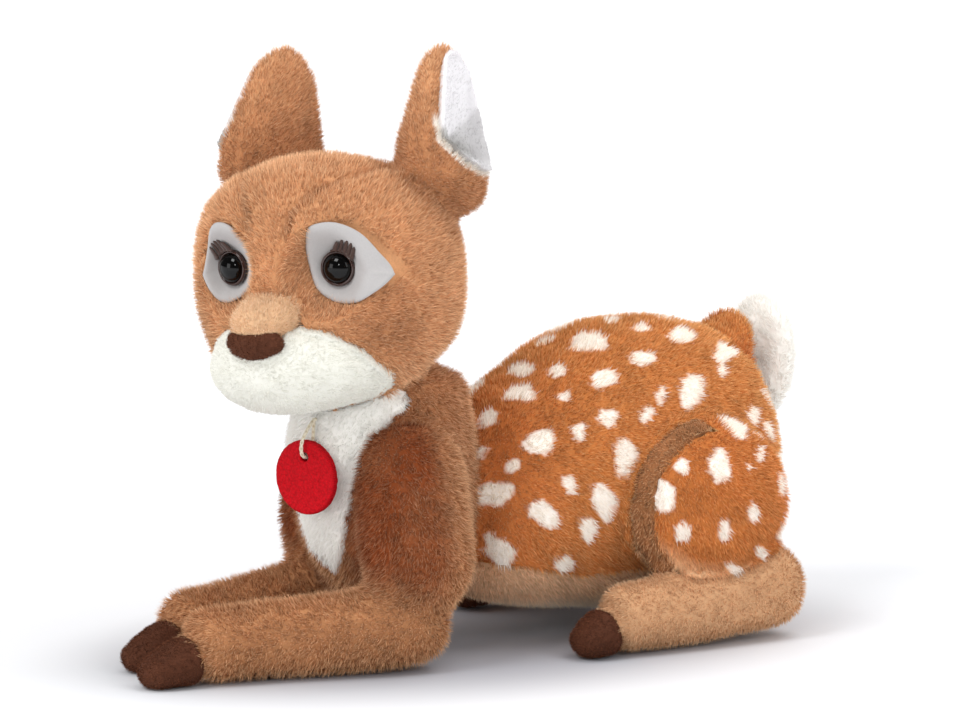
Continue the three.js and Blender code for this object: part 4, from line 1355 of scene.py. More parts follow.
                n = (k + 1) % spokes
                ring = (row * spokes + k, row * spokes + n, (row + 1) * spokes + n, (row + 1) * spokes + k)
                faces += [ring, tuple(size + v for v in reversed(ring))]
        for k in range(spokes):
            n, last = (k + 1) % spokes, (rings - 1) * spokes
            faces += [(k, size + k, size + n, n), (last + k, last + n, size + last + n, size + last + k)]
        return mesh_piece(f"felt_patch_{side.word}", corners, faces)

    @staticmethod
    def face_surface() -> tuple[list, list]:
        """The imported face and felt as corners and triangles.

        Returns:
            The corners and the triangles.
        """
        corners, faces, count = [], [], 0
        for name in ("head_skin", "eye_patch_left", "eye_patch_right"):
            mesh = merged_copy(name)
            corners += [Vector(v) for v in corners_of(mesh)]
            faces += (triangles_of(mesh) + count).tolist()
            count = len(corners)
        return corners, faces

    def build_lashes(self, side: Side, place: Matrix) -> None:
        """Makes a fan of curved leaves that are joined along the eye's upper edge.

        Args:
            side: Which eye.
            place: The eye's frame.
        """
        corners, faces = [], []
        thick, steps = 0.28 * MM, 7
        reach = 0.95 if side is Side.LEFT else 0.7
        leaves = ((-4, 2.2, 11.2), (12, 4.8, 12.0), (28, 7.2, 11.6), (44, 9.0, 10.6), (62, 10.2, 9.0))
        for root, tip_x, tip_y in leaves:
            base = Vector((side.value * math.sin(math.radians(root)), math.cos(math.radians(root)), 0))
            span = Vector((side.value * tip_x * reach * MM, tip_y * MM, 0)) - base * self.eye_radius * 0.98
            way, long = span.normalized(), span.length / MM
            across = Vector((way.y, -way.x, 0))
            start = len(corners)
            for k in range(steps + 1):
                share = k / steps
                bend = math.radians(22 + 16 * share)
                out = long * MM * share
                rise = 3.2 * MM + long * MM * share * math.sin(bend)
                taper = math.sqrt(max(0.0, 1 - max(0.0, (share - 0.72) / 0.29) ** 2))
                half = 1.05 * MM * (1.0 - 0.25 * share) * taper
                middle = base * self.eye_radius * 0.98 + way * out + Vector((0, 0, rise))
                facing = (way * -math.sin(bend) + Vector((0, 0, math.cos(bend)))) * thick
                for sign, lift in ((-1, -1), (1, -1), (1, 1), (-1, 1)):
                    edge = middle + across * sign * half
                    corners.append(place @ (edge + facing * lift * (1 - 0.4 * share)))
            faces += tube_faces(start, steps, 4)
        start, stops = len(corners), 14
        for k in range(stops + 1):
            turn = math.radians(-16 + 78 * k / stops)
            way = Vector((side.value * math.sin(turn), math.cos(turn), 0))
            for out, rise in ((0.95, 2.7), (1.07, 2.7), (1.07, 3.6), (0.95, 3.6)):
                corners.append(place @ (way * self.eye_radius * out + Vector((0, 0, rise * MM))))
        faces += tube_faces(start, stops, 4)
        lashes = give(mesh_piece(f"lash_fan_{side.word}", corners, faces), LASH)
        dress(lashes, "root", LASH.slot, f"eyelashes_{side.word}")

    def build_ear(self, side: Side) -> list[PlushPart]:
        """Makes an ear's plush shell and its short lining.

        Args:
            side: Which ear.

        Returns:
            The shell and the lining.
        """
        word = side.word
        low, high = (np.array(v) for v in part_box(f"ear_{word}"))
        root = hinge(f"ear_flex_{word}")
        way = unit((low + high) / 2 - root)
        inner = corners_of(merged_copy(f"ear_lining_{word}"))
        target = tree_of(merged_copy(f"ear_lining_{word}"))
        middle = inner.mean(axis=0)
        slant = math.radians(30)
        rear = self.outward(np.array([side.value * math.cos(slant), math.sin(slant), 0.0]))
        low_t, high_t = np.percentile((inner - middle) @ way, (1, 99))
        low_s, high_s = np.percentile((inner - middle) @ rear, (2, 98))

        def hollow(places: np.ndarray) -> np.ndarray:
            """Painted shade: the lining is greyed below its slanting fold, darkest low in its cup.

            Args:
                places: Points, one a row, in metres.

            Returns:
                One value for each place.
            """
            up = ((places - middle) @ way - low_t) / (high_t - low_t)
            back = ((places - middle) @ rear - low_s) / (high_s - low_s)
            below = smoothstep(-0.02, 0.05, 0.2 + 0.5 * back - up)
            deep = np.exp(-(((back - 0.35) / 0.3) ** 2) - ((up - 0.16) / 0.14) ** 2)
            return below * (0.3 + 0.6 * deep)

        def lip(places: np.ndarray) -> np.ndarray:
            """The shell turns white just under the lining's lower edge.

            Args:
                places: Points, one a row, in metres.

            Returns:
                One value for each place.
            """
            up = ((places - middle) @ way - low_t) / (high_t - low_t)
            near = 1 - smoothstep(2.4 * MM, 3.4 * MM, distances(places, target))
            return near * (1 - smoothstep(0.3, 0.4, up))

        # Painted shade: the shell's pile darkens towards the ear's root
        shell = PlushPart(f"ear_{word}", TAN, body=f"ear_{word}", seed=21 + side.value, voxel=1.5 * MM,
                          rounds=8, lumps=0.4 * MM, pattern=PilePattern(
                              constant(*way), lip,
                              shade=lambda p: 0.6 * (1 - smoothstep(8 * MM, 46 * MM, (p - root) @ way)),
                              length=lambda p: np.full(len(p), 0.8)))
        lining = PlushPart(f"ear_lining_{word}", LINING, body=f"ear_{word}", seed=31 + side.value,
                           voxel=0.7 * MM, rounds=6, lumps=0.2 * MM,
                           pattern=PilePattern(constant(*way), shade=hollow))
        for part in (shell, lining):
            part.build_form()
        return [shell, lining]


@dataclass
class Spot:
    """One white spot on the unrolled cloth, in millimetres, with its lean in degrees."""

    along: float
    round: float
    long: float
    wide: float
    lean: float


# Most of these were worked out by a scratch program, which cast the photo's spots on the solids
BACK_SPOTS = (
    Spot(73, 1, 4.2, 3.4, 131), Spot(55, 13, 8.0, 6.2, 51), Spot(80, 13, 4.0, 2.8, 164),
    Spot(96, 20, 8.6, 4.6, 149), Spot(114, 28, 10.5, 4.4, 141), Spot(71, 30, 6.8, 3.8, 3),
    Spot(107, 39, 4.4, 2.2, 128), Spot(27, 5, 9.6, 3.4, 82), Spot(36, 21, 4.2, 3.4, 76),
    Spot(51, 34, 5.8, 4.7, 7), Spot(19, 21, 9.6, 4.6, 70), Spot(33, 36, 3.4, 2.8, 94),
    Spot(87, 48, 9.0, 5.6, 121), Spot(72, 48, 5.2, 1.8, 124), Spot(6, 21, 8.6, 3.2, 89),
    Spot(46, 54, 4.2, 3.8, 114), Spot(63, 56, 5.0, 2.4, 150), Spot(33, 57, 5.0, 2.8, 100),
    Spot(16, 58, 8.0, 6.4, 91), Spot(-2, 45, 6.0, 2.2, 95), Spot(50, 74, 9.8, 4.8, 95),
    Spot(5, 69, 5.8, 2.2, 97), Spot(25, 85, 6.0, 2.8, 76), Spot(-2, 91, 12.0, 5.0, 98),
    Spot(40, 96, 11.8, 4.9, 76), Spot(12, 99, 6.0, 4.4, 120), Spot(16, 104, 7.6, 4.6, 62),
    Spot(34, 111, 7.0, 3.9, 79), Spot(0, 131, 8.6, 5.2, 94), Spot(27, 131, 6.0, 4.6, 37),
    Spot(126, 8, 5.4, 3.4, 100), Spot(134, 46, 5.2, 3.2, 60), Spot(128, 68, 6.4, 3.4, 80),
    Spot(100, 3, 4.6, 3.0, 30), Spot(44, -4, 5.4, 3.6, 64), Spot(137, 84, 6.4, 3.8, 60),
    Spot(119, 60, 5.0, 3.2, 110), Spot(142, 62, 4.4, 3.0, 80), Spot(124, 88, 4.2, 3.0, 40),
)
HAUNCH_SPOTS = (
    Spot(85, 95, 3.6, 1.6, 34), Spot(99, 91, 7.6, 4.2, 14), Spot(81, 78, 8.0, 4.4, 68),
    Spot(66, 78, 3.6, 2.5, 63), Spot(57, 66, 7.2, 5.2, 80), Spot(95, 57, 4.4, 3.2, 106),
    Spot(81, 51, 4.6, 3.0, 109), Spot(64, 51, 4.2, 2.6, 101), Spot(103, 39, 5.0, 2.4, 142),
    Spot(89, 33, 4.6, 2.2, 164), Spot(104, 80, 4.9, 1.8, 38), Spot(95, 76, 2.0, 1.4, 19),
    Spot(115, 66, 5.4, 2.8, 95), Spot(117, 45, 4.4, 2.8, 70), Spot(112, 86, 3.4, 2.2, 40),
)


def spotted(along: np.ndarray, round_way: np.ndarray, places: np.ndarray,
            spots: Iterable[Spot]) -> np.ndarray:
    """How white the cloth is, from the spots' ellipses with slightly uneven edges.

    Args:
        along: Each place's distance along the cloth, in metres.
        round_way: Its distance round the cloth, in metres.
        places: The places themselves, for the uneven edges.
        spots: The spots, in millimetres on the unrolled cloth.

    Returns:
        0 for coloured and 1 for white.
    """
    white = np.zeros(len(places))
    edge = (lattice_noise(places, 3.5 * MM, 71) - 0.5) * 0.4 + 0.06
    for spot in spots:
        turn = math.radians(spot.lean)
        dy, dv = along / MM - spot.along, round_way / MM - spot.round
        long = (dy * math.cos(turn) + dv * math.sin(turn)) / spot.long
        wide = (dv * math.cos(turn) - dy * math.sin(turn)) / spot.wide
        reach = (np.abs(long) ** 2.3 + np.abs(wide * (1 + 0.28 * long)) ** 2.3) ** (1 / 2.3) + edge
        white = np.maximum(white, 1 - smoothstep(0.94, 1.02, reach))
    return white


@dataclass
class Torso:
    """The long back with its spots, the tan belly and the white patch under the tail."""

    middle_x: float = MIDDLE_X
    axis_height: float = 66.0 * MM
    unroll_radius: float = 58.0 * MM
    parts: list[PlushPart] = field(default_factory=list)

    def spots(self, places: np.ndarray) -> np.ndarray:
        """White spots on both flanks and along the spine.

        Args:
            places: Points, one a row, in metres.

        Returns:
            One value for each place.
        """
        angle = np.arctan2(places[:, 0] - self.middle_x, places[:, 2] - self.axis_height)
        v = angle * self.unroll_radius
        left = spotted(places[:, 1], v, places, BACK_SPOTS)
        swapped = [Spot(s.along + (4 if k % 2 else -3), s.round + (2 if k % 3 else -2), s.long, s.wide,
                        s.lean + 12)
                   for k, s in enumerate(BACK_SPOTS) if s.round > 9]
        return np.maximum(left, spotted(places[:, 1], -v, places, swapped))

    def flow(self, places: np.ndarray) -> np.ndarray:
        """The pile runs back and down the flanks.

        Args:
            places: Points, one a row, in metres.

        Returns:
            One direction for each place.
        """
        off = places[:, 0] - self.middle_x
        side = np.sign(off) * np.minimum(np.abs(off) / (40 * MM), 1)
        return np.stack([side * 0.25, np.ones(len(places)), -0.55 * np.abs(side)], 1)

    def underside(self, places: np.ndarray) -> np.ndarray:
        """The belly's lowest strip is whitish."""
        return 0.75 * (1 - smoothstep(11 * MM, 21 * MM, places[:, 2]))

    def shadow(self, places: np.ndarray) -> np.ndarray:
        """Painted shade: the flank turns a darker, deeper colour behind the shoulder and low down.

        Args:
            places: Points, one a row, in metres.

        Returns:
            One value for each place.
        """
        low = 1 - smoothstep(30 * MM, 70 * MM, places[:, 2])
        front = 1 - smoothstep(-8 * MM, 45 * MM, places[:, 1])
        return 0.45 * np.maximum(low * 0.6, front)

    def build_forms(self) -> None:
        """Makes the three sewn panels."""
        back = PlushPart("torso_back", SPOTTED, stuffing="torso_stuffing", seed=41, voxel=2.4 * MM, rounds=10,
                         lumps=0.9 * MM, pattern=PilePattern(self.flow, self.spots, self.shadow))
        belly = PlushPart("torso_belly", BELLY, stuffing="torso_stuffing", seed=43,
                          pattern=PilePattern(self.flow, self.underside))
        rump = PlushPart("rump_patch", WHITE, stuffing="torso_stuffing", seed=45, voxel=1.8 * MM,
                         pattern=PilePattern(constant(0, 0.3, -1), length=lambda p: np.full(len(p), 1.7)))
        for part in (back, belly, rump):
            part.build_form()
        self.parts += [back, belly, rump]


@dataclass
class Neck:
    """The brown neck with the white bib let into its front."""

    parts: list[PlushPart] = field(default_factory=list)

    @staticmethod
    def shadow(places: np.ndarray) -> np.ndarray:
        """Painted shade: the neck is dark beside the arms and under the head, and paler low down.

        Args:
            places: Points, one a row, in metres.

        Returns:
            One value for each place.
        """
        front = 1 - smoothstep(SHIFT_Y - 66 * MM, SHIFT_Y - 46 * MM, places[:, 1])
        arms = np.minimum(*(distances(places, tree_of(merged_copy(f"foreleg_{side.word}"))) for side in Side))
        beside = front * (1 - smoothstep(3 * MM, 20 * MM, arms))
        high = smoothstep(35 * MM, 80 * MM, places[:, 2])
        return 0.9 * beside + (1 - beside) * 0.62 * high * (0.35 + 0.65 * front)

    def build_forms(self) -> None:
        """Makes the neck and the bib."""
        neck = PlushPart("neck_skin", BROWN, stuffing="neck_stuffing", seed=51,
                         pattern=PilePattern(constant(0, -0.15, -1), shade=self.shadow))
        bib = PlushPart("chest_bib", WHITE, stuffing="neck_stuffing", seed=53, voxel=2.0 * MM,
                        pattern=PilePattern(constant(0, -0.1, -1), length=lambda p: np.full(len(p), 1.2)))
        for part in (neck, bib):
            part.build_form()
        self.parts += [neck, bib]


@dataclass
class Legs:
    """The stretched front legs, the haunches with their bands, the hind feet and the wedge-shaped hooves."""

    parts: list[PlushPart] = field(default_factory=list)

    @staticmethod
    def arm_flow(places: np.ndarray) -> np.ndarray:
        """The pile runs down the upper arm and forward along the forearm."""
        down = smoothstep(34 * MM, 58 * MM, places[:, 2])
        return np.stack([np.zeros(len(places)), -(1.05 - down), -(0.15 + down)], 1)

    @staticmethod
    def arm_shade(places: np.ndarray) -> np.ndarray:
        """The shoulder is darker than the forearm.

        Args:
            places: Points, one a row, in metres.

        Returns:
            One value for each place.
        """
        level = places[:, 2] + (lattice_noise(places, 14 * MM, 62) - 0.5) * 12 * MM
        high = smoothstep(26 * MM, 50 * MM, level)
        rear = smoothstep(SHIFT_Y - 56 * MM, SHIFT_Y - 38 * MM, places[:, 1])
        return high * (1 - 0.9 * rear) * (0.7 + 0.5 * lattice_noise(places, 18 * MM, 61))

    @staticmethod
    def haunch_spots(places: np.ndarray) -> np.ndarray:
        """White spots on the outer face of the haunch."""
        return spotted(places[:, 1], places[:, 2], places, HAUNCH_SPOTS)

    @staticmethod
    def haunch_shade(places: np.ndarray) -> np.ndarray:
        """The haunch turns tan towards its lower edge.

        Args:
            places: Points, one a row, in metres.

        Returns:
            One value for each place.
        """
        forward = 1 - smoothstep(SHIFT_Y + 34 * MM, SHIFT_Y + 80 * MM, places[:, 1])
        edge = places[:, 2] + (lattice_noise(places, 5 * MM, 66) - 0.5) * 3 * MM - forward * 20 * MM
        return 1 - smoothstep(28 * MM, 38 * MM, edge)

    def build_forms(self) -> None:
        """Makes both sides' legs."""
        for side in Side:
            word, seed = side.word, 61 + side.value * 3
            arm = PlushPart(f"foreleg_{word}", BROWN, stuffing=f"foreleg_stuffing_{word}", seed=seed,
                            pattern=PilePattern(self.arm_flow, shade=self.arm_shade))
            haunch = PlushPart(f"haunch_{word}", HAUNCH, stuffing=f"haunch_stuffing_{word}", seed=seed + 10,
                               pattern=PilePattern(constant(0, 0.35, -1), self.haunch_spots,
                                                   self.haunch_shade))
            band = PlushPart(f"haunch_band_{word}", BAND, stuffing=f"haunch_stuffing_{word}", seed=seed + 20,
                             voxel=1.8 * MM, pattern=PilePattern(constant(0, -0.2, -1)))
            foot = PlushPart(f"hind_foot_{word}", LIMB, stuffing=f"hind_foot_stuffing_{word}", seed=seed + 30,
                             pattern=PilePattern(constant(0, -1, 0)))
            for part in (arm, haunch, band, foot):
                part.build_form()
            self.parts += [arm, haunch, band, foot]
            for name in (f"fore_hoof_{word}", f"hind_hoof_{word}"):
                hoof = PlushPart(name, DARK, seed=seed + 40, voxel=1.0 * MM, rounds=5, lumps=0.15 * MM,
                                 pattern=PilePattern(constant(0, -1, 0)))
                hoof.build_form()
                self.parts.append(hoof)


@dataclass
class Tail:
    """The raised tail: a tan leaf in front of a full white one."""

    parts: list[PlushPart] = field(default_factory=list)

    @staticmethod
    def base_shade(places: np.ndarray) -> np.ndarray:
        """The tan leaf is dark at its root."""
        return 0.9 * (1 - smoothstep(106 * MM, 126 * MM, places[:, 2]))

    def build_forms(self) -> None:
        """Makes the two leaves."""
        top = PlushPart("tail_top", SPOTTED, body="tail", seed=81, voxel=1.5 * MM,
                        pattern=PilePattern(constant(0, 0.2, 1), shade=self.base_shade))
        under = PlushPart("tail_underside", WHITE, body="tail", seed=83, voxel=1.5 * MM,
                          pattern=PilePattern(constant(0, 0.1, 1), length=lambda p: np.full(len(p), 1.5)))
        for part in (top, under):
            part.build_form()
        self.parts += [top, under]


@dataclass
class Stuffing:
    """The loose fibre inside every sewn part."""

    nodes: tuple[str, ...] = tuple(n for n in frame["nodes"] if "stuffing" in n)

    def build(self) -> None:
        """Makes each filling as one lumpy mass of fibre."""
        for number, node in enumerate(self.nodes):
            mass = give(softened(node.replace("stuffing", "filling"), node, 3.4 * MM, 4), FILLING)
            places, normals = corners_of(mass.data), normals_of(mass.data)
            lumps = lattice_noise(places, 9 * MM, 90 + number)
            move_corners(mass.data, places - normals * (0.2 * MM + lumps * 1.1 * MM)[:, None])
            dress(mass, "root", FILLING.slot, node)


@dataclass
class Tag:
    """A round embroidered tag that hangs from the neck seam on a loop of braided cord."""

    centre: tuple[float, float, float] = (MIDDLE_X + 12 * MM, SHIFT_Y - 87.5 * MM, 79.5 * MM)
    turn: float = 19.0
    radius: float = 15.5 * MM
    hole_rise: float = 8.525 * MM
    stitches: int = 132
    cord_diameter: float = 1.6 * MM
    braid_rate: float = 2600.0
    route: tuple[tuple[float, float, float], ...] = (
        (12.4, -83.2, 103.4), (12.6, -85.2, 102.2), (12.9, -87.4, 99.8), (13.1, -89.2, 97.2),
        (13.2, -90.5, 94.4), (13.2, -90.9, 91.2), (12.8, -89.9, 88.7), (12.0, -87.5, 87.8),
        (11.2, -85.1, 88.7), (10.8, -84.1, 91.2), (10.7, -83.8, 94.0), (10.5, -83.4, 97.0),
        (10.3, -83.1, 100.2), (10.2, -82.8, 103.4))

    @property
    def place(self) -> Matrix:
        """The disc's own frame, with Z out of its face."""
        return (Matrix.Translation(self.centre) @ Matrix.Rotation(math.radians(self.turn), 4, "Z")
                @ Matrix.Rotation(math.radians(90), 4, "X"))

    def thread_material(self) -> bpy.types.Material:
        """Red looped thread: small round loops in no order on the face, and straight stitches on the edge.

        Returns:
            The material.
        """
        material, nodes, shader = start_material("red_thread", Shading(0.7, specular=0.12))
        flat = nodes.read("disc", "Vector")
        split = nodes.add("ShaderNodeSeparateXYZ", Vector=flat)
        loops = nodes.add("ShaderNodeTexVoronoi", Vector=flat, Scale=900.0)
        reach = nodes.math("SQRT", nodes.math("ADD", nodes.math("POWER", split.outputs["X"], 2.0),
                                              nodes.math("POWER", split.outputs["Y"], 2.0)))
        angle = nodes.math("ARCTAN2", split.outputs["Y"], split.outputs["X"])
        ribs = nodes.math("SINE", nodes.math("MULTIPLY", angle, float(self.stitches)))
        border = nodes.math("GREATER_THAN", reach, self.radius * 0.955)
        looped = nodes.math("MULTIPLY", nodes.math("SUBTRACT", 1.0, loops.outputs["Distance"]),
                            nodes.math("SUBTRACT", 1.0, border))
        stitched = nodes.math("ADD", nodes.math("MULTIPLY", ribs, 0.4), 0.5)
        height = nodes.math("ADD", looped, nodes.math("MULTIPLY", stitched, border))
        fuzz = nodes.add("ShaderNodeTexNoise", Vector=flat, Scale=700.0, Detail=4.0, Roughness=0.7)
        level = nodes.math("ADD", nodes.math("MULTIPLY", height, 0.6),
                           nodes.math("MULTIPLY", nodes.math("SUBTRACT", fuzz.outputs["Fac"], 0.3), 1.2))
        red = nodes.mix(level, (*linear(150, 4, 14), 1.0), (*linear(216, 10, 28), 1.0))
        nodes.feed(red, shader.inputs["Base Color"])
        bump = nodes.add("ShaderNodeBump", Strength=1.0, Distance=0.5 * MM, Height=level)
        nodes.feed(bump.outputs["Normal"], shader.inputs["Normal"])
        return material

    def build_disc(self) -> bpy.types.Object:
        """Makes the flat worked disc with a soft edge and a bound hole.

        Returns:
            The disc.
        """
        disc = softened("embroidered_tag", "tag_disc", 0.42 * MM, 5)
        places = corners_of(disc.data)
        q = moved(places, self.place.inverted())
        reach = np.hypot(q[:, 0], q[:, 1])
        hole = np.hypot(q[:, 0], q[:, 1] - self.hole_rise)
        face = np.sign(q[:, 2])
        eyelet = np.exp(-(((hole - 2.6 * MM) / (0.5 * MM)) ** 2)) * 0.12 * MM
        edge = smoothstep(self.radius - 1.2 * MM, self.radius, reach) * 0.25 * MM
        nap = (lattice_noise(places, 1.0 * MM, 15) - 0.5) * 0.4 * MM
        q[:, 2] += face * (eyelet - edge + nap - 0.3 * MM)
        move_corners(disc.data, moved(q, self.place))
        write_values(disc.data, "disc", q)
        disc.data.materials.clear()
        disc.data.materials.append(self.thread_material())
        return dress(disc, "tag_disc", "tag_red", "tag_disc")

    def build_border(self) -> bpy.types.Object:
        """Lays close overlock stitches round the edge with geometry nodes.

        Returns:
            The border.
        """
        tree = bpy.data.node_groups.new("border_stitches", "GeometryNodeTree")
        for name, kind, value in (("Radius", "NodeSocketFloat", self.radius),
                                  ("Stitches", "NodeSocketInt", self.stitches),
                                  ("Reach", "NodeSocketFloat", 0.9 * MM),
                                  ("Thread", "NodeSocketFloat", 0.3 * MM)):
            tree.interface.new_socket(name, in_out="INPUT", socket_type=kind).default_value = value
        tree.interface.new_socket("Finish", in_out="INPUT", socket_type="NodeSocketMaterial")
        tree.interface.new_socket("Geometry", in_out="OUTPUT", socket_type="NodeSocketGeometry")
        ids = {s.name: s.identifier for s in tree.interface.items_tree if s.in_out == "INPUT"}
        nodes = Nodes(tree)
        given = tree.nodes.new("NodeGroupInput").outputs
        edge = nodes.add("GeometryNodeCurvePrimitiveCircle", Resolution=given["Stitches"])
        nodes.feed(nodes.math("SUBTRACT", given["Radius"], 0.55 * MM), edge.inputs["Radius"])
        loop = nodes.add("GeometryNodeCurvePrimitiveCircle", Resolution=14)
        nodes.feed(nodes.math("MULTIPLY", given["Reach"], 0.5), loop.inputs["Radius"])
        section = nodes.add("GeometryNodeCurvePrimitiveCircle", Resolution=5)
        nodes.feed(nodes.math("MULTIPLY", given["Thread"], 0.5), section.inputs["Radius"])
        ring = nodes.add("GeometryNodeCurveToMesh", Curve=loop.outputs[0], Profile_Curve=section.outputs[0])
        squeezed = nodes.add("GeometryNodeTransform", Geometry=ring.outputs[0],
                             Rotation=(math.pi / 2, 0, 0), Scale=(1, 1, 3.7))
        points = nodes.add("GeometryNodeCurveToPoints", mode="EVALUATED", Curve=edge.outputs[0])
        copies = nodes.add("GeometryNodeInstanceOnPoints", Points=points.outputs["Points"],
                           Instance=squeezed.outputs[0])
        facing = nodes.add("FunctionNodeAlignRotationToVector", axis="Y", pivot_axis="Z",
                           Vector=points.outputs["Tangent"])
        nodes.feed(facing.outputs[0], copies.inputs["Rotation"])
        real = nodes.add("GeometryNodeRealizeInstances", Geometry=copies.outputs[0])
        dressed = nodes.add("GeometryNodeSetMaterial", Geometry=real.outputs[0], Material=given["Finish"])
        nodes.feed(dressed.outputs[0], tree.nodes.new("NodeGroupOutput").inputs[0])
        border = put("border_stitches", bpy.data.meshes.new("border_stitches"))
        work = border.modifiers.new("stitches", "NODES")
        work.node_group = tree
        work[ids["Finish"]] = bpy.data.materials["red_thread"]
        settled(border)
        flat = corners_of(border.data)
        write_values(border.data, "disc", flat)
        move_corners(border.data, moved(flat, self.place))
        border.data.shade_smooth()
        return dress(border, "tag_disc", "tag_red")

    def cord_material(self) -> bpy.types.Material:
        """Cream cotton whose crossing strands follow the cord.

        Returns:
            The material.
        """
        material, nodes, shader = start_material("cream_cord", Shading(0.9, 0.4, 0.5, specular=0.2))
        split = nodes.add("ShaderNodeSeparateXYZ", Vector=nodes.read("braid", "Vector"))
        turns = nodes.math("MULTIPLY", split.outputs["X"], 2.0)
        runs = nodes.math("MULTIPLY", split.outputs["Y"], self.braid_rate)
        one = nodes.math("SINE", nodes.math("ADD", turns, runs))
        two = nodes.math("SINE", nodes.math("SUBTRACT", turns, runs))
        weave = nodes.math("MAXIMUM", one, two)
        fuzz = nodes.add("ShaderNodeTexNoise", Vector=nodes.read("braid", "Vector"), Scale=60.0, Detail=2.0)
        level = nodes.math("ADD", nodes.math("MULTIPLY", weave, 0.35),
                           nodes.math("MULTIPLY", fuzz.outputs["Fac"], 0.6))
        nodes.feed(nodes.mix(level, (*linear(188, 172, 140), 1.0), (*linear(246, 240, 222), 1.0)),
                   shader.inputs["Base Color"])
        bump = nodes.add("ShaderNodeBump", Strength=0.7, Distance=0.2 * MM, Height=level)
        nodes.feed(bump.outputs["Normal"], shader.inputs["Normal"])
        return material

    def build_cord(self) -> None:
        line = self.smooth_line(np.array(self.route) * MM + np.array([MIDDLE_X, SHIFT_Y, 0.0]), 90)
        steps = np.linalg.norm(np.diff(line, axis=0), axis=1)
        run = np.concatenate([[0], np.cumsum(steps)])
        along = unit(np.gradient(line, axis=0))
        across = unit(np.cross(along, np.array([1.0, 0.2, 0.0])))
        third = np.cross(along, across)
        sides, corners, braid = 12, [], []
        for k in range(len(line)):
            for s in range(sides):
                turn = 2 * math.pi * s / sides
                wound = run[k] * self.braid_rate
                weave = max(math.sin(2 * turn + wound), math.sin(2 * turn - wound))
                reach = self.cord_diameter / 2 * (0.9 + 0.1 * weave)
                corners.append(line[k] + (across[k] * math.cos(turn) + third[k] * math.sin(turn)) * reach)
                braid.append((turn, run[k], 0))
        cord = mesh_piece("braided_cord", corners, tube_faces(0, len(line) - 1, sides))
        write_values(cord.data, "braid", np.array(braid))
        cord.data.materials.append(self.cord_material())
        dress(cord, "tag_cord", "cord_cream", "tag_cord")

    @staticmethod
    def smooth_line(points: np.ndarray, count: int) -> np.ndarray:
        """Evenly spaced places on a smooth curve through the points.

        Args:
            points: Points that the curve runs through.
            count: How many places.

        Returns:
            The places, one a row.
        """
        gaps = np.sqrt(np.linalg.norm(np.diff(points, axis=0), axis=1))
        knots = np.concatenate([[0], np.cumsum(gaps)])
        slopes = np.gradient(points, knots, axis=0)
        fine = np.linspace(0, knots[-1], 1200)
        k = np.clip(np.searchsorted(knots, fine, "right") - 1, 0, len(points) - 2)
        width = (knots[k + 1] - knots[k])[:, None]
        share = (fine - knots[k])[:, None] / width
        curve = cubic(points[k], points[k + 1], width * slopes[k], width * slopes[k + 1], share)
        run = np.concatenate([[0], np.cumsum(np.linalg.norm(np.diff(curve, axis=0), axis=1))])
        even = np.linspace(0, run[-1], count)
        return np.stack([np.interp(even, run, curve[:, axis]) for axis in range(3)], 1)

    def build(self) -> None:
        """Makes the tag and its cord."""
        disc = self.build_disc()
        border = self.build_border()
        self.build_cord()


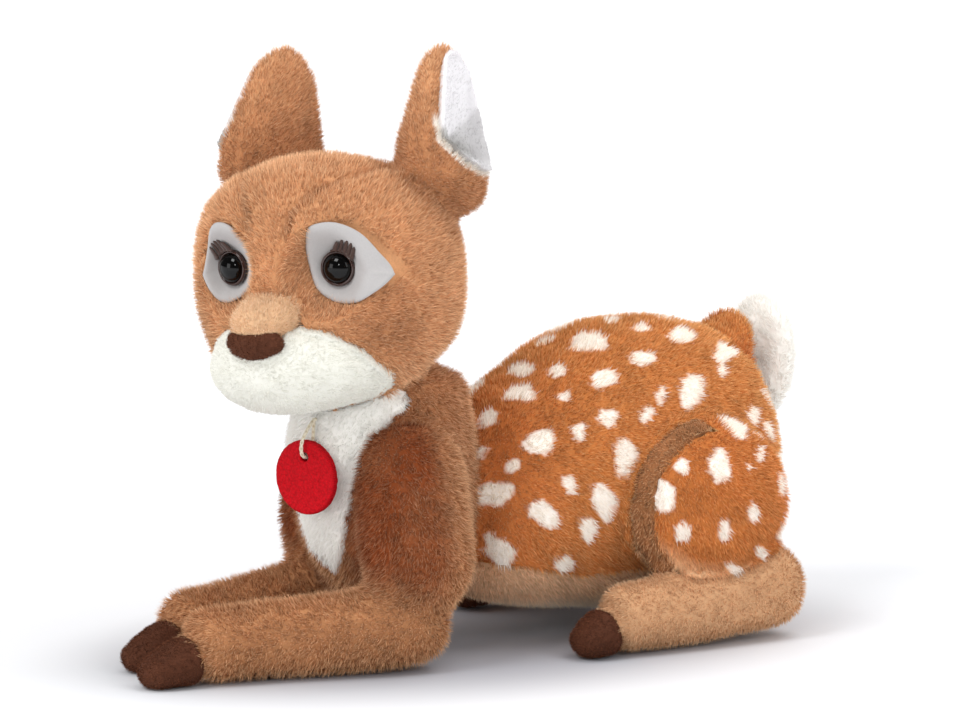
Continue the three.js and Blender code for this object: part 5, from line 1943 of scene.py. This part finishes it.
@dataclass
class Studio:
    """A pale floor with a painted shadow and a painted glow, soft lights and a camera at the photograph's
    angle.
    """

    azimuth: float = 57.0
    elevation: float = 9.0
    distance: float = 3.0
    photo_width: int = 960
    pixel_size: float = 0.42
    sensor_width: float = 36.0
    aside: float = 4.2 * MM
    upward: float = 117.5 * MM

    def camera_axes(self) -> tuple[Vector, Vector, Vector]:
        """Works out how the camera looks.

        Returns:
            Its right, up and viewing directions.
        """
        turn, tilt = math.radians(self.azimuth), math.radians(self.elevation)
        look = Vector((-math.sin(turn) * math.cos(tilt), math.cos(turn) * math.cos(tilt), -math.sin(tilt)))
        right = Vector((math.cos(turn), math.sin(turn), 0))
        return right, right.cross(look), look

    def build_camera(self) -> None:
        """Sets the camera."""
        right, up, look = self.camera_axes()
        aim = right * self.aside + up * self.upward + Vector((MIDDLE_X, SHIFT_Y, 0))
        data = bpy.data.cameras.new("studio_camera")
        data.lens = self.sensor_width * self.distance / (self.photo_width * self.pixel_size * MM)
        data.sensor_width = self.sensor_width
        data.clip_end = 60
        camera = bpy.data.objects.new("studio_camera", data)
        camera.matrix_world = Matrix.Translation(aim - look * self.distance) @ Matrix(
            (right, up, -look)).transposed().to_4x4()
        bpy.context.scene.collection.objects.link(camera)
        bpy.context.scene.camera = camera

    def build_floor(self) -> None:
        """Lays a wide pale floor, with a painted shadow round the toy and a painted glow that grows away from
        it.
        """
        half = 14.0
        floor = mesh_piece("floor", [(-half, -half, 0), (half, -half, 0), (half, half, 0), (-half, half, 0)],
                           [(0, 1, 2, 3)])
        if floor.data.polygons[0].normal.z < 0:
            floor.data.flip_normals()
        material, nodes, shader = start_material("pale_floor", Shading(0.75, specular=0.15))
        place = nodes.add("ShaderNodeTexCoord").outputs["Object"]
        reach = nodes.add("ShaderNodeVectorMath", operation="LENGTH", Vector=place).outputs["Value"]
        # Painted shadow: the floor's colour darkens to a bluish grey in an oval round the toy
        narrow = nodes.add("ShaderNodeVectorMath", operation="MULTIPLY", Vector=place)
        narrow.inputs[1].default_value = (1.5, 1.0, 1.0)
        near = nodes.add("ShaderNodeMapRange", interpolation_type="SMOOTHSTEP", Value=nodes.add(
            "ShaderNodeVectorMath", operation="LENGTH", Vector=narrow.outputs[0]).outputs["Value"])
        for label, value in (("From Min", 0.08), ("From Max", 0.21), ("To Min", 0.0), ("To Max", 1.0)):
            near.inputs[label].default_value = value
        nodes.feed(nodes.mix(near.outputs["Result"], (0.42, 0.43, 0.47, 1), (0.84, 0.85, 0.875, 1)),
                   shader.inputs["Base Color"])
        # Painted light: the floor glows more with distance from the toy, up to 0.45, so that the far floor
        # reads white
        glow = nodes.add("ShaderNodeMapRange", interpolation_type="SMOOTHSTEP", Value=reach)
        for label, value in (("From Min", 0.1), ("From Max", 1.3), ("To Min", 0.0), ("To Max", 0.45)):
            glow.inputs[label].default_value = value
        grey = nodes.add("ShaderNodeCombineColor")
        for socket in grey.inputs:
            nodes.feed(glow.outputs["Result"], socket)
        nodes.feed(grey.outputs[0], shader.inputs["Emission Color"])
        shader.inputs["Emission Strength"].default_value = 1.0
        floor.data.materials.append(material)

    @staticmethod
    def build_light(name: str, place: tuple[float, float, float], size: float, power: float) -> None:
        """Adds a square softbox that faces the toy.

        Args:
            name: The light's name.
            place: Where it is, in metres.
            size: The softbox's width, in metres.
            power: Its power, in watts.
        """
        data = bpy.data.lights.new(name, "AREA")
        data.shape = "SQUARE"
        data.size = size
        data.energy = power
        light = bpy.data.objects.new(name, data)
        at = Vector(place)
        away = at - Vector((0, 0, 0.1))
        light.matrix_world = Matrix.Translation(at) @ away.to_track_quat("Z", "Y").to_matrix().to_4x4()
        bpy.context.scene.collection.objects.link(light)

    def build(self) -> None:
        """Sets up the whole studio."""
        self.build_camera()
        self.build_floor()
        self.build_light("key_softbox", (0.35, -1.2, 1.5), 0.6, 10.5)
        self.build_light("top_softbox", (0.3, 0.7, 1.7), 1.2, 11.0)
        self.build_light("side_softbox", (1.7, 0.5, 0.9), 1.0, 6.4)
        self.build_light("low_softbox", (-0.1, -1.7, 0.4), 0.6, 3.0)
        self.build_light("catch_light", (1.2, -1.35, 0.85), 0.22, 2.6)
        world = bpy.data.worlds.new("studio_world")
        world.use_nodes = True
        nodes = Nodes(world.node_tree)
        ground = world.node_tree.nodes["Background"]
        ground.inputs["Color"].default_value = (1, 1, 1, 1)
        glossy = nodes.add("ShaderNodeLightPath").outputs["Is Glossy Ray"]
        strength = nodes.math("SUBTRACT", 0.8, nodes.math("MULTIPLY", glossy, 0.7))
        nodes.feed(strength, ground.inputs["Strength"])
        bpy.context.scene.world = world
        bpy.context.scene.view_settings.view_transform = "Standard"


def main() -> None:
    """Builds the studio, then the forms, then the pile that grows between them."""
    logging.basicConfig(level=logging.INFO, format="%(message)s")
    Studio().build()
    Tag().build()
    log.info("tag and cord")
    assemblies = [Head(), Torso(), Neck(), Legs(), Tail()]
    for assembly in assemblies:
        assembly.build_forms()
        log.info("%s: %d plush parts", type(assembly).__name__, len(assembly.parts))
    Stuffing().build()
    OBSTACLES.close()
    for assembly in assemblies:
        for part in assembly.parts:
            part.grow_pile()


if __name__ == "__main__":
    main()
